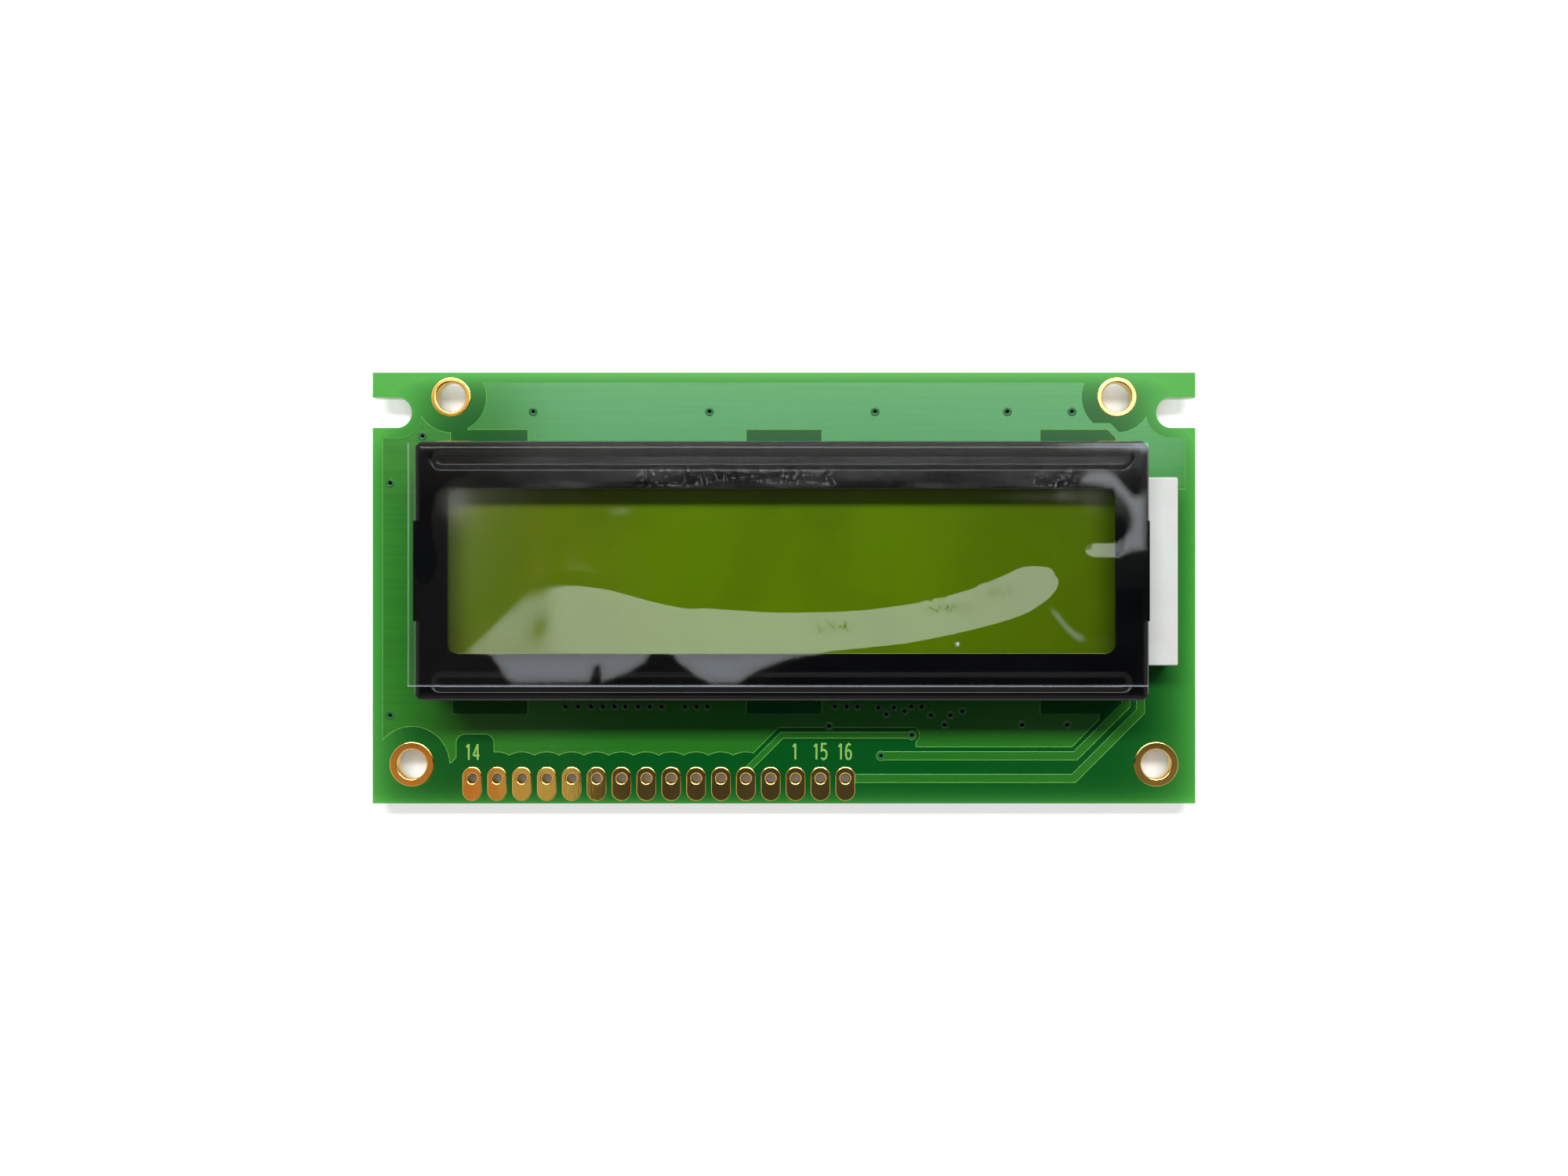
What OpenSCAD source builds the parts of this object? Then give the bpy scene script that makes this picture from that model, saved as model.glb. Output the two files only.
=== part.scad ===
// Two-line character LCD module: a glass display cell and an edge-lit backlight
// held on a printed circuit board by a pressed steel bezel.
// Millimetres. The origin is the centre of the board's outline, at the ends of the
// bezel's tabs, which are the lowest points of the back. +Z faces the viewer, +X runs
// along the display and +Y is the top of the display.

/* [Board] */
// Board length, along the display
board_w = 84; // [82:0.5:96]
// Board height
board_h = 44; // [43:0.5:56]
// Board thickness
board_t = 1.6; // [1:0.1:2.4]
// Thickness of the copper and of the plating in the holes
copper_t = 0.05; // [0.03:0.01:0.08]
// Margin between the copper fields and the board's edge
field_margin = 1; // [0.8:0.1:1.4]

/* [Fixing holes] */
// Bore of the four plated fixing holes
fixing_d = 3; // [2.6:0.1:3.2]
// Outer diameter of the rings round the two top holes
top_ring_d = 4; // [3.8:0.1:4.4]
// Outer diameter of the rings round the two bottom holes
bottom_ring_d = 4.5; // [4:0.1:5]
// Top holes: centre to the board's side edge
top_hole_side = 8; // [7.5:0.1:9]
// Top holes: centre to the board's top edge
top_hole_edge = 2.5; // [2.4:0.1:2.8]
// Bottom holes: centre to the side edge and to the bottom edge
bottom_hole_edge = 4; // [3.5:0.1:4.5]
// Width of bare board round the rings
bare_ring = 1.6; // [1:0.1:1.8]

/* [Side slots] */
// Width of the open slots in the two side edges
slot_w = 3.1; // [2.8:0.1:3.4]
// Depth of the slots, from the side edge to the round end
slot_depth = 4; // [3:0.1:4.6]
// Centre line of the slots to the board's top edge
slot_edge = 4.1; // [3.9:0.1:4.6]
// Width of bare board round the slots
slot_bare = 1; // [0.6:0.1:1.2]

/* [Header] */
// Number of holes in the header row
pin_count = 16; // [14:1:16]
// Pitch of the header row
pin_pitch = 2.54; // [2.4:0.01:2.6]
// Bore of the plated header holes
pin_hole_d = 1; // [0.8:0.05:1.1]
// Width of a header pad
pad_w = 1.97; // [1.7:0.01:2.1]
// Length of a header pad
pad_l = 3.44; // [3:0.02:3.6]
// First hole to the board's left edge
header_side = 10.16; // [9.6:0.01:11]
// Header holes to the board's bottom edge
header_edge = 2.56; // [2.5:0.02:2.9]
// Distance of a pad's centre below its hole
pad_shift = 0.56; // [0:0.02:0.6]

/* [Front copper] */
// Width of bare board round the header pads
pad_bare = 1.53; // [1.3:0.01:1.6]
// Width of bare board beside a trace
trace_gap = 0.43; // [0.3:0.01:0.5]
// Width of the two feeds that run to the backlight
feed_w = 0.9; // [0.6:0.02:0.94]
// Width of bare board between the two feeds
feed_gap = 0.6; // [0.5:0.05:0.7]
// Height of the upper feed above the header pads
feed_rise = 1.15; // [1.1:0.05:1.2]
// Start of the upper feed, right of the board's centre
feed_x = 9.9; // [9.4:0.1:12]
// Distance from the board's right edge to where the upper feed turns up
feed_side = 12.24; // [11.8:0.02:13]
// Edge of the upper feed inside the bezel's right end
feed_inset = 0.25; // [0:0.05:0.3]
// Width of the signal trace
signal_w = 0.66; // [0.4:0.02:0.7]
// Height of the signal trace above the upper feed
signal_rise = 2.1; // [2:0.05:2.2]
// Slanted end of the signal trace below the tip of its header pad
signal_start = 0.43; // [0.3:0.01:0.6]
// End of the signal trace, right of the board's centre
signal_x = 13.05; // [12:0.05:14]
// End of the signal trace to the step in the copper field
signal_end_gap = 0.4; // [0.2:0.05:0.5]
// Radius of the pads at the traces' ends
via_pad_r = 0.5; // [0.48:0.01:0.52]
// Distance from the board's right edge to the end of the lower field
field_side = 9.8; // [9.4:0.1:10.4]
// Lower end of the right-hand field, above the display's centre
field_end = 8.4; // [8.3:0.1:9]
// Tip of the upper field, right of the left fixing hole
field_tip = 1.7; // [1.5:0.05:2]
// Width of the bridge between the upper and the right-hand field
bridge_w = 0.7; // [0.5:0.05:0.7]
// Length of the level part of the bridge
bridge_l = 2.2; // [2:0.1:2.4]
// Drop of the bridge's slanted end
bridge_drop = 1.6; // [1.5:0.05:1.7]
// Bare patch for the first pad's number: width
number_bare_w = 3.8; // [3.4:0.1:4]
// Bare patch for the first pad's number: height
number_bare_h = 5.8; // [5.4:0.1:6]
// Bare patch for the first pad's number: corner radius
number_bare_r = 0.9; // [0.5:0.1:1.2]
// Bare patch for the first pad's number: centre right of the first hole
number_x = 0.3; // [0.2:0.05:0.4]
// Bare patch for the first pad's number: centre above the first hole
number_y = 1.6; // [1.4:0.05:1.7]

/* [Bezel] */
// Height of the display's centre above the board's centre
display_y = 1.65; // [1:0.05:2]
// Bezel length
bezel_w = 71.2; // [70:0.1:72]
// Bezel height
bezel_h = 25.2; // [25:0.1:26]
// Thickness of the steel sheet
sheet_t = 0.5; // [0.4:0.05:0.6]
// Outer radius of the bent edges
bend_r = 0.8; // [0.7:0.05:1]
// Size of the cut across each corner
corner_cut = 0.8; // [0.6:0.05:0.9]
// Width of the slit between two skirts at a corner
corner_slit = 0.3; // [0.2:0.05:0.4]
// Border of the face at each end of the window
border_x = 3.35; // [3.1:0.05:4.5]
// Border of the face above and below the window
border_y = 4.6; // [4.4:0.1:5.6]
// Window corner radius
window_r = 0.95; // [0.5:0.05:1.5]
// Length of the gap in the middle of each end skirt
end_gap = 9.7; // [8:0.1:12]
// Inset of the face's sheared edge in each gap
lip_inset = 0.05; // [0:0.01:0.1]
// Clearance round the backlight's end where it leaves the bezel
end_clearance = 0.25; // [0.1:0.05:0.4]

/* [Pressed grooves] */
// End of a groove to the bezel's short edge
groove_end = 1.7; // [1.6:0.1:3.6]
// Width of a groove at the bezel's face
groove_w = 2.05; // [1.9:0.05:2.2]
// Width of a groove's floor
groove_floor = 0.85; // [0.6:0.05:1]
// Depth of a groove, which presses on the front glass
groove_depth = 0.35; // [0.25:0.05:0.5]
// Centre of a groove to the bezel's long edge
groove_edge = 1.85; // [1.85:0.05:2]

/* [Twist tabs] */
// Outer tabs to the bezel's short edges
tab_end = 5.6; // [4.6:0.1:11]
// Width of a tab's neck, in its board slot
tab_neck = 1.4; // [1:0.1:1.8]
// Width of a tab's head
tab_head = 2.4; // [2.2:0.1:2.6]
// Twist of the heads behind the board
tab_twist = 35; // [25:1:60]
// Distance that the heads stand out behind the board
tab_reach = 1.6; // [1.6:0.1:2.4]
// Length of the board slots for the tabs
tab_slot_l = 2.8; // [2.7:0.1:3.2]
// Width of the board slots for the tabs
tab_slot_w = 0.8; // [0.7:0.05:1]
// Length of the bare rectangle round each tab slot
tab_bare_l = 7.65; // [6:0.05:8]
// Height of the bare rectangle round each tab slot
tab_bare_w = 4.3; // [4:0.1:4.6]

/* [Glass cell] */
// Thickness of each glass
glass_t = 1.1; // [0.7:0.1:1.4]
// Thickness of the liquid crystal layer and its seal
cell_gap = 0.05; // [0.03:0.01:0.1]
// Thickness of each polariser
polariser_t = 0.2; // [0.15:0.01:0.25]
// Overlap of the polarisers behind the window's edge
polariser_lap = 1; // [0.6:0.1:1.1]
// Gap between the glass and the bezel's skirts
glass_gap = 0.4; // [0.3:0.05:0.5]
// Height of the contact ledges of the front glass
ledge = 2.35; // [2.3:0.05:2.5]
// Width of the seal between the glasses
seal_w = 1; // [0.6:0.1:1.2]
// Seal to the edge of the rear glass
seal_margin = 0.3; // [0.2:0.05:0.5]

/* [Contact strips] */
// End of a rubber contact strip to the bezel's short edge
strip_end = 4.6; // [3.6:0.1:6.6]
// Width of the rubber contact strips
strip_w = 1.9; // [1.6:0.1:2]
// Pitch of the contact pads under the strips
contact_pitch = 1.27; // [1:0.01:2]
// Width of a contact pad
contact_w = 0.7; // [0.5:0.05:0.8]

/* [Backlight] */
// Thickness of the backlight
backlight_t = 5; // [4.8:0.1:6]
// Height of the backlight's end above the board
end_t = 4.4; // [4:0.1:4.6]
// Reach of the backlight's end past the bezel
end_reach = 3.6; // [3.5:0.1:4.4]
// Thickness of the housing's walls
wall_t = 1; // [0.8:0.05:1.1]
// Thickness of the housing's floor and of the roof over its end
floor_t = 0.8; // [0.6:0.05:0.9]
// Thickness of the reflector sheet
reflector_t = 0.2; // [0.1:0.05:0.3]
// Thickness of the diffuser sheet
diffuser_t = 0.2; // [0.1:0.05:0.4]
// Gap round the light guide
guide_gap = 0.2; // [0.1:0.05:0.3]
// Number of light-emitting chips
led_count = 4; // [2:1:5]
// Length of a light-emitting chip
led_l = 2.8; // [2:0.1:3]
// Height of a light-emitting chip
led_h = 1.4; // [1:0.1:1.8]
// Thickness of a light-emitting chip
led_t = 0.9; // [0.6:0.05:1]
// Thickness of the board that carries the light-emitting chips
led_board_t = 0.8; // [0.6:0.1:1]
// Distance from the display's centre line to each backlight pin
pin_spacing = 6; // [4:0.5:7]
// Width of the square backlight pins
pin_w = 0.6; // [0.5:0.05:0.6]
// Reach of the backlight pins above the housing's floor
pin_reach = 2; // [1.4:0.1:2.4]
// Reach of the backlight pins behind the board's back copper
pin_tail = 1.1; // [1:0.05:1.4]
// Bore of the plated holes for the backlight pins
pin_bore = 1; // [0.9:0.05:1.1]
// Outer diameter of the pads round the backlight pins
pin_ring_d = 2.2; // [2.1:0.1:2.4]
// Height of the solder cones on the backlight pins
solder_h = 0.9; // [0.6:0.05:0.95]
// Radius of a solder cone at its tip
solder_tip_r = 0.55; // [0.5:0.05:0.7]
// Radius of a solder cone on its pad
solder_r = 1; // [0.8:0.05:1.05]

/* [Protective film] */
// Film thickness
film_t = 0.06; // [0.04:0.01:0.1]
// Overhang of the film past the bezel's left edge
film_left = 0.7; // [-1:0.05:1]
// Margin of the film to the bezel's right edge
film_right = 0.2; // [-1:0.05:2]
// Margin of the film to the bezel's top edge
film_top = 0.25; // [0.2:0.05:2]
// Margin of the film to the bezel's bottom edge
film_bottom = 1.45; // [0.2:0.05:2]

/* [Back of the board] */
// Radius of the resin domes over the two chips
dome_r = 7; // [6:0.1:7.4]
// Height of the resin domes
dome_h = 1.4; // [1:0.1:1.5]
// Controller dome to the left of the board's centre
controller_x = 20; // [19:0.5:21]
// Driver dome to the right of the board's centre
driver_x = 12; // [11:0.5:14]
// Length of a chip resistor or capacitor
chip_l = 2; // [1.6:0.1:2.2]
// Width of a chip resistor or capacitor
chip_w = 1.25; // [0.8:0.05:1.3]
// Height of a chip resistor
resistor_h = 0.5; // [0.4:0.05:0.6]
// Margin of a chip's lands beside its ends
land_margin = 0.1; // [0.05:0.05:0.2]
// Height of a chip capacitor
capacitor_h = 0.85; // [0.6:0.05:1.1]
// Spacing of the chips in their columns
chip_spacing = 2.6; // [2.2:0.1:3]
// Width of the thin traces on the back
thin_trace = 0.35; // [0.25:0.05:0.4]

/* [Hidden] */
$fn = 64;
eps = 0.01;

// Levels, from the tips of the tabs up
z_back = tab_reach;
z_front = z_back + board_t;
z_seat = z_front + copper_t;
z_rim = z_seat + backlight_t;
z_rear_film = z_rim + diffuser_t;
z_rear_glass = z_rear_film + polariser_t;
z_cell = z_rear_glass + glass_t;
z_front_glass = z_cell + cell_gap;
z_glass_top = z_front_glass + glass_t;
z_bezel = z_glass_top + groove_depth + sheet_t;
bezel_depth = z_bezel - z_seat;

// Window, grooves and film on the bezel's face
window_w = bezel_w - 2 * border_x;
window_h = bezel_h - 2 * border_y;
groove_l = bezel_w - 2 * groove_end;
film_w = bezel_w + film_left - film_right;
film_h = bezel_h - film_top - film_bottom;

// Display stack, measured about the display's centre
glass_w = bezel_w - 2 * (sheet_t + glass_gap);
glass_h = bezel_h - 2 * (sheet_t + glass_gap);
rear_glass_h = glass_h - 2 * ledge;
polariser_w = window_w + 2 * polariser_lap;
polariser_h = window_h + 2 * polariser_lap;
seal_l = glass_w - 2 * seal_margin;
seal_h = rear_glass_h - 2 * seal_margin;
strip_l = bezel_w - 2 * strip_end;
strip_y = (glass_h - ledge) / 2;
groove_y = bezel_h / 2 - groove_edge;
skirt_y = (bezel_h - sheet_t) / 2;

// Backlight, in plan
end_x = bezel_w / 2 + end_reach;
cavity_h = rear_glass_h - 2 * wall_t;
cavity_w = glass_w - 2 * wall_t;
tunnel_t = end_t - 2 * floor_t;
pin_x = end_x - wall_t - guide_gap - pin_w / 2;
led_board_x = pin_x - pin_w / 2 - led_board_t;
nose_x = led_board_x - led_t - guide_gap;

// Holes, as [x, y]
top_holes = [for (s = [-1, 1]) [s * (board_w / 2 - top_hole_side), board_h / 2 - top_hole_edge]];
bottom_holes = [for (s = [-1, 1]) [s * (board_w / 2 - bottom_hole_edge), bottom_hole_edge - board_h / 2]];
header_y = header_edge - board_h / 2;
pads = [for (i = [0:pin_count - 1]) [header_side - board_w / 2 + i * pin_pitch, header_y - pad_shift]];
pad_top = header_y - pad_shift + pad_l / 2;
slot_y = board_h / 2 - slot_edge;
tabs = [for (sy = [-1, 1], i = [-1:1]) [i * (bezel_w / 2 - tab_end), display_y + sy * skirt_y]];
light_pins = [for (s = [-1, 1]) [pin_x, display_y + s * pin_spacing]];

// Copper fields and traces on the front, in plan
field_x = board_w / 2 - field_margin;
field_top = board_h / 2 - field_margin;
feed_y = pad_top + feed_rise;
signal_y = feed_y + signal_rise;
signal_turn = pads[11].x + signal_y - pad_top + signal_start;
// Both feeds keep their gap along the slant and up the bezel's end
feed_pitch = feed_w + feed_gap;
upper_turn = board_w / 2 - feed_side;
lower_turn = upper_turn - (feed_y - header_y) + feed_pitch * sqrt(2);
upper_feed_x = bezel_w / 2 - feed_w / 2 - feed_inset;
lower_feed_x = upper_feed_x + feed_pitch;

// ---------------------------------------------------------------- helpers

function unit(v) = v / norm(v);
function left_of(v) = [-v.y, v.x];
// Mitred sideways step of a route at its point i, for a half width of one
function mitre(p, i) =
    let (b = unit(p[min(i + 1, len(p) - 1)] - p[min(i, len(p) - 2)]),
         a = i > 0 ? unit(p[i] - p[i - 1]) : b)
    left_of(a + b) * 2 / (norm(a + b) * norm(a + b));
// Outline of a trace of constant width along a route
function ribbon(p, w) = concat(
    [for (i = [0:len(p) - 1]) p[i] - mitre(p, i) * w / 2],
    [for (i = [len(p) - 1:-1:0]) p[i] + mitre(p, i) * w / 2]);

module trace(route, w) polygon(ribbon(route, w));

// Rectangle with rounded corners, centred
module rounded_rect(size, r) {
    square([size.x - 2 * r, size.y], center = true);
    square([size.x, size.y - 2 * r], center = true);
    for (sx = [-1, 1], sy = [-1, 1])
        translate([sx * (size.x / 2 - r), sy * (size.y / 2 - r)])
            circle(r);
}

// Flat plate centred on the display, with its bottom at z
module plate(size, t, z) {
    translate([0, display_y, z])
        linear_extrude(t)
            square(size, center = true);
}

// Header pad with both round ends
module pad_outline(grow = 0) {
    w = pad_w + 2 * grow;
    square([w, pad_l - pad_w], center = true);
    for (s = [-1, 1])
        translate([0, s * (pad_l - pad_w) / 2])
            circle(d = w);
}

// Plated barrel with a ring on each face of the board
module plated_hole(bore, ring) {
    translate([0, 0, z_back - copper_t])
        linear_extrude(copper_t)
            annulus(ring, bore);
    translate([0, 0, z_back])
        linear_extrude(board_t)
            annulus(bore + 2 * copper_t, bore);
    translate([0, 0, z_front])
        linear_extrude(copper_t)
            annulus(ring, bore);
}

module annulus(outer, inner) {
    difference() {
        circle(d = outer);
        circle(d = inner);
    }
}

// ---------------------------------------------------------------- circuit board

// Open slot in a side edge, s = -1 on the left and 1 on the right
module side_slot(s, grow = 0) {
    r = slot_w / 2 + grow;
    x = board_w / 2 - slot_depth + slot_w / 2;
    translate([s * x, slot_y])
        circle(r);
    translate([s * (x + board_w) / 2, slot_y])
        square([board_w - x, 2 * r], center = true);
}

module board_outline() {
    difference() {
        square([board_w, board_h], center = true);
        for (s = [-1, 1])
            side_slot(s);
        for (p = concat(top_holes, bottom_holes))
            translate(p)
                circle(d = fixing_d + 2 * copper_t);
        for (p = pads)
            translate([p.x, header_y])
                circle(d = pin_hole_d + 2 * copper_t);
        for (p = tabs)
            translate(p)
                square([tab_slot_l, tab_slot_w], center = true);
        for (p = light_pins)
            translate(p)
                circle(d = pin_bore + 2 * copper_t);
    }
}

module circuit_board() {
    color([0.13, 0.42, 0.16])
        translate([0, 0, z_back])
            linear_extrude(board_t)
                board_outline();
}

module header_pads() {
    color([0.72, 0.5, 0.24])
        for (p = pads)
            translate([p.x, 0]) {
                for (z = [z_back - copper_t, z_front])
                    translate([0, 0, z])
                        linear_extrude(copper_t)
                            difference() {
                                translate([0, p.y])
                                    pad_outline();
                                translate([0, header_y])
                                    circle(d = pin_hole_d);
                            }
                translate([0, header_y, z_back])
                    linear_extrude(board_t)
                        annulus(pin_hole_d + 2 * copper_t, pin_hole_d);
            }
}

module fixing_rings() {
    color([0.85, 0.66, 0.28]) {
        for (p = top_holes)
            translate(p)
                plated_hole(fixing_d, top_ring_d);
        for (p = bottom_holes)
            translate(p)
                plated_hole(fixing_d, bottom_ring_d);
    }
}

// ---------------------------------------------------------------- front copper

// Bare rectangle round a tab; the one at the top right has a cut corner
module tab_bare(p) {
    translate(p)
        difference() {
            square([tab_bare_l, tab_bare_w], center = true);
            if (p.x > 0 && p.y > 0)
                translate([tab_bare_l, tab_bare_w] / 2)
                    rotate(45)
                        square(1, center = true);
        }
}

// Bare bands under the contact strips
module contact_bare() {
    for (s = [-1, 1])
        translate([0, display_y + s * strip_y])
            square([strip_l + 2 * trace_gap, strip_w + 2 * trace_gap], center = true);
}

// The copper field before its bare rings and bands: it fills the left and the middle,
// rises over the display, and steps over the traces at the bottom right
module field_outline() {
    low = pad_top + trace_gap;
    signal_bank = signal_w / 2 + trace_gap;
    knee = [signal_turn - signal_bank * tan(22.5), signal_y + signal_bank];
    step_x = signal_x + signal_end_gap;
    feed_bank = feed_w / 2 + trace_gap;
    shelf = [upper_turn - feed_bank * tan(22.5), feed_y + feed_bank];
    inner_x = board_w / 2 - field_side;
    end_y = display_y + field_end;
    tip_x = top_holes[0].x + field_tip;
    under_y = display_y + skirt_y;
    polygon([
        [-field_x, low], [knee.x + low - knee.y, low], knee,
        [step_x, knee.y], [step_x, shelf.y], shelf, [inner_x, shelf.y + inner_x - shelf.x],
        [inner_x, end_y], [field_x, end_y], [field_x, slot_y],
        [top_holes[1].x, slot_y], [top_holes[1].x, field_top], [tip_x, field_top],
        [tip_x, under_y], [top_holes[0].x, under_y], [top_holes[0].x, slot_y], [-field_x, slot_y]
    ]);
}

module front_fields() {
    difference() {
        field_outline();
        for (s = [-1, 1])
            side_slot(s, slot_bare);
        for (p = top_holes)
            translate(p)
                circle(d = top_ring_d + 2 * bare_ring);
        for (p = bottom_holes)
            translate(p)
                circle(d = bottom_ring_d + 2 * bare_ring);
        for (p = pads)
            translate([p.x, p.y + (pad_l - pad_w) / 2])
                circle(d = pad_w + 2 * pad_bare);
        translate([pads[0].x + number_x, header_y + number_y])
            rounded_rect([number_bare_w, number_bare_h], number_bare_r);
        for (p = tabs)
            tab_bare(p);
        contact_bare();
        translate([signal_x, signal_y])
            circle(signal_w / 2 + trace_gap);
    }
}

// Feed of one backlight pin: along the board, up at 45 degrees and along the bezel's end
module feed(start, turn, x, pin) {
    trace([start, [turn, start.y], [x, start.y + x - turn], [x, pin.y], pin], feed_w);
}

// The two feeds of the backlight and one signal, clear of the fields
module front_traces() {
    feed([feed_x, feed_y], upper_turn, upper_feed_x, light_pins[1]);
    feed([pads[pin_count - 1].x, header_y], lower_turn, lower_feed_x, light_pins[0]);
    trace([[pads[11].x, pad_top - signal_start], [signal_turn, signal_y], [signal_x, signal_y]], signal_w);
    for (p = [[feed_x, feed_y], [signal_x, signal_y]])
        translate(p)
            circle(via_pad_r);
    // Bridge between the upper field and the right-hand field, past the fixing hole
    x = top_holes[1].x - 1.2 * bridge_w;
    y = display_y + skirt_y + (tab_bare_w + bridge_w) / 2;
    trace([[x - bridge_l, y], [x, y], [x + bridge_drop, y - bridge_drop]], bridge_w);
}

module front_copper() {
    color([0.3, 0.62, 0.25])
        translate([0, 0, z_front])
            linear_extrude(copper_t)
                difference() {
                    union() {
                        front_fields();
                        front_traces();
                    }
                    for (p = light_pins)
                        translate(p)
                            circle(d = pin_ring_d);
                    for (p = pads)
                        translate(p)
                            pad_outline();
                }
}

// Row of contact pads under a strip, s = 1 above the display and -1 below
module contact_row(s) {
    count = floor((strip_l - contact_w) / contact_pitch / 2);
    color([0.8, 0.66, 0.34])
        for (i = [-count:count])
            translate([i * contact_pitch, display_y + s * strip_y, z_front])
                linear_extrude(copper_t)
                    square([contact_w, strip_w], center = true);
}

module upper_contacts() contact_row(1);
module lower_contacts() contact_row(-1);

// ---------------------------------------------------------------- back of the board

domes = [[-controller_x, display_y], [driver_x, display_y]];
resistor_spots = [for (i = [-2:2]) [driver_x + dome_r + 5, display_y + i * chip_spacing]];
capacitor_spots = [for (i = [-1:1]) [-controller_x - dome_r - 4.5, display_y + i * chip_spacing]];

// Lands under the two ends of a chip
module chip_lands() {
    for (s = [-1, 1])
        translate([s * chip_l / 2, 0])
            square([chip_l / 2, chip_w + 2 * land_margin], center = true);
}

// Signals from the header to the controller, gathered by 45 degree runs
module header_traces() {
    gather = 0.9;
    top = display_y - dome_r - 1.2;
    for (i = [0:10]) {
        goal = -controller_x + (i - 5) * gather;
        start = pads[i];
        trace([[start.x, pad_top], [start.x, top - abs(goal - start.x)], [goal, top],
               [goal, display_y - dome_r / 2]], thin_trace);
    }
}

// Fan of traces from a dome to the vias beside a contact strip
module fan(dome, s) {
    inner = 0.7;
    for (i = [-8:8])
        trace([[dome.x + i * inner, display_y + s * dome_r / 2],
               [dome.x + i * inner, display_y + s * (dome_r + 0.4)],
               [dome.x + i * contact_pitch, display_y + s * (dome_r + 2.6)],
               [dome.x + i * contact_pitch, display_y + s * (strip_y - 0.2)]], thin_trace);
}

module back_copper() {
    color([0.3, 0.6, 0.25])
        translate([0, 0, z_back - copper_t])
            linear_extrude(copper_t) {
                header_traces();
                fan(domes[0], 1);
                fan(domes[1], 1);
                fan(domes[1], -1);
                for (i = [-3:3])
                    translate([(domes[0].x + domes[1].x) / 2, display_y + i])
                        square([domes[1].x - domes[0].x - dome_r, thin_trace], center = true);
                for (p = domes)
                    translate(p)
                        circle(dome_r - 0.5);
                for (p = concat(resistor_spots, capacitor_spots))
                    translate(p)
                        chip_lands();
            }
}

// Shallow spherical cap of resin, flat side on the board
module dome(p) {
    cap_r = (dome_r * dome_r + dome_h * dome_h) / (2 * dome_h);
    color([0.06, 0.06, 0.06])
        translate([p.x, p.y, z_back - copper_t - dome_h])
            intersection() {
                translate([0, 0, cap_r])
                    sphere(cap_r, $fn = 240);
                translate([0, 0, -1])
                    cylinder(h = dome_h + 1, r = dome_r + 1);
            }
}

module controller_dome() dome(domes[0]);
module driver_dome() dome(domes[1]);

// Chip component with its two metal ends standing a little proud
module chip(p, h) {
    end_l = chip_l / 5;
    proud = 0.04;
    translate([p.x, p.y, z_back - copper_t - h]) {
        translate([0, 0, h / 2 + proud / 2])
            cube([chip_l - 2 * end_l, chip_w - 2 * proud, h - proud], center = true);
        for (s = [-1, 1])
            translate([s * (chip_l - end_l) / 2, 0, h / 2])
                cube([end_l, chip_w, h], center = true);
    }
}

module resistors() {
    color([0.15, 0.15, 0.17])
        for (p = resistor_spots)
            chip(p, resistor_h);
}

module capacitors() {
    color([0.66, 0.54, 0.38])
        for (p = capacitor_spots)
            chip(p, capacitor_h);
}

// ---------------------------------------------------------------- backlight

module backlight_housing() {
    color([0.9, 0.91, 0.9])
        translate([0, display_y, z_seat])
            difference() {
                union() {
                    translate([-glass_w / 2, -rear_glass_h / 2, 0])
                        cube([glass_w, rear_glass_h, backlight_t]);
                    translate([0, -rear_glass_h / 2, 0])
                        cube([end_x, rear_glass_h, end_t]);
                }
                translate([-cavity_w / 2, -cavity_h / 2, floor_t])
                    cube([cavity_w, cavity_h, backlight_t]);
                translate([0, -cavity_h / 2, floor_t])
                    cube([end_x - wall_t, cavity_h, tunnel_t]);
                for (p = light_pins)
                    translate([p.x, p.y - display_y, floor_t / 2])
                        cube([pin_w + 0.1, pin_w + 0.1, 2 * floor_t], center = true);
            }
}

module reflector_sheet() {
    color([0.96, 0.96, 0.95])
        plate([cavity_w - 2 * guide_gap, cavity_h - 2 * guide_gap], reflector_t, z_seat + floor_t);
}

module light_guide() {
    guide_w = cavity_w - 2 * guide_gap;
    guide_h = cavity_h - 2 * guide_gap;
    low = floor_t + reflector_t;
    color([0.85, 0.92, 0.8, 0.6])
        translate([0, display_y - guide_h / 2, z_seat + low]) {
            translate([-guide_w / 2, 0, 0])
                cube([guide_w, guide_h, backlight_t - low]);
            cube([nose_x, guide_h, tunnel_t - reflector_t - guide_gap]);
        }
}

module diffuser_sheet() {
    rest = wall_t / 2;
    color([0.88, 0.93, 0.75])
        plate([cavity_w + 2 * rest, cavity_h + 2 * rest], diffuser_t, z_rim);
}

module led_board() {
    color([0.93, 0.93, 0.88])
        translate([led_board_x, display_y - cavity_h / 2 + guide_gap, z_seat + floor_t])
            cube([led_board_t, cavity_h - 2 * guide_gap, tunnel_t - guide_gap]);
}

module led_chips() {
    pitch = cavity_h / led_count;
    color([0.75, 0.9, 0.3])
        for (i = [0:led_count - 1])
            translate([led_board_x - led_t / 2,
                       display_y - cavity_h / 2 + (i + 0.5) * pitch,
                       z_seat + floor_t + tunnel_t / 2])
                cube([led_t, led_l, led_h], center = true);
}

module backlight_pins() {
    tip = z_back - copper_t - pin_tail;
    color([0.8, 0.8, 0.78])
        for (p = light_pins)
            translate([p.x - pin_w / 2, p.y - pin_w / 2, tip])
                cube([pin_w, pin_w, z_seat + floor_t + pin_reach - tip]);
}

module backlight_pads() {
    color([0.85, 0.66, 0.28])
        for (p = light_pins)
            translate(p)
                plated_hole(pin_bore, pin_ring_d);
}

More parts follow.
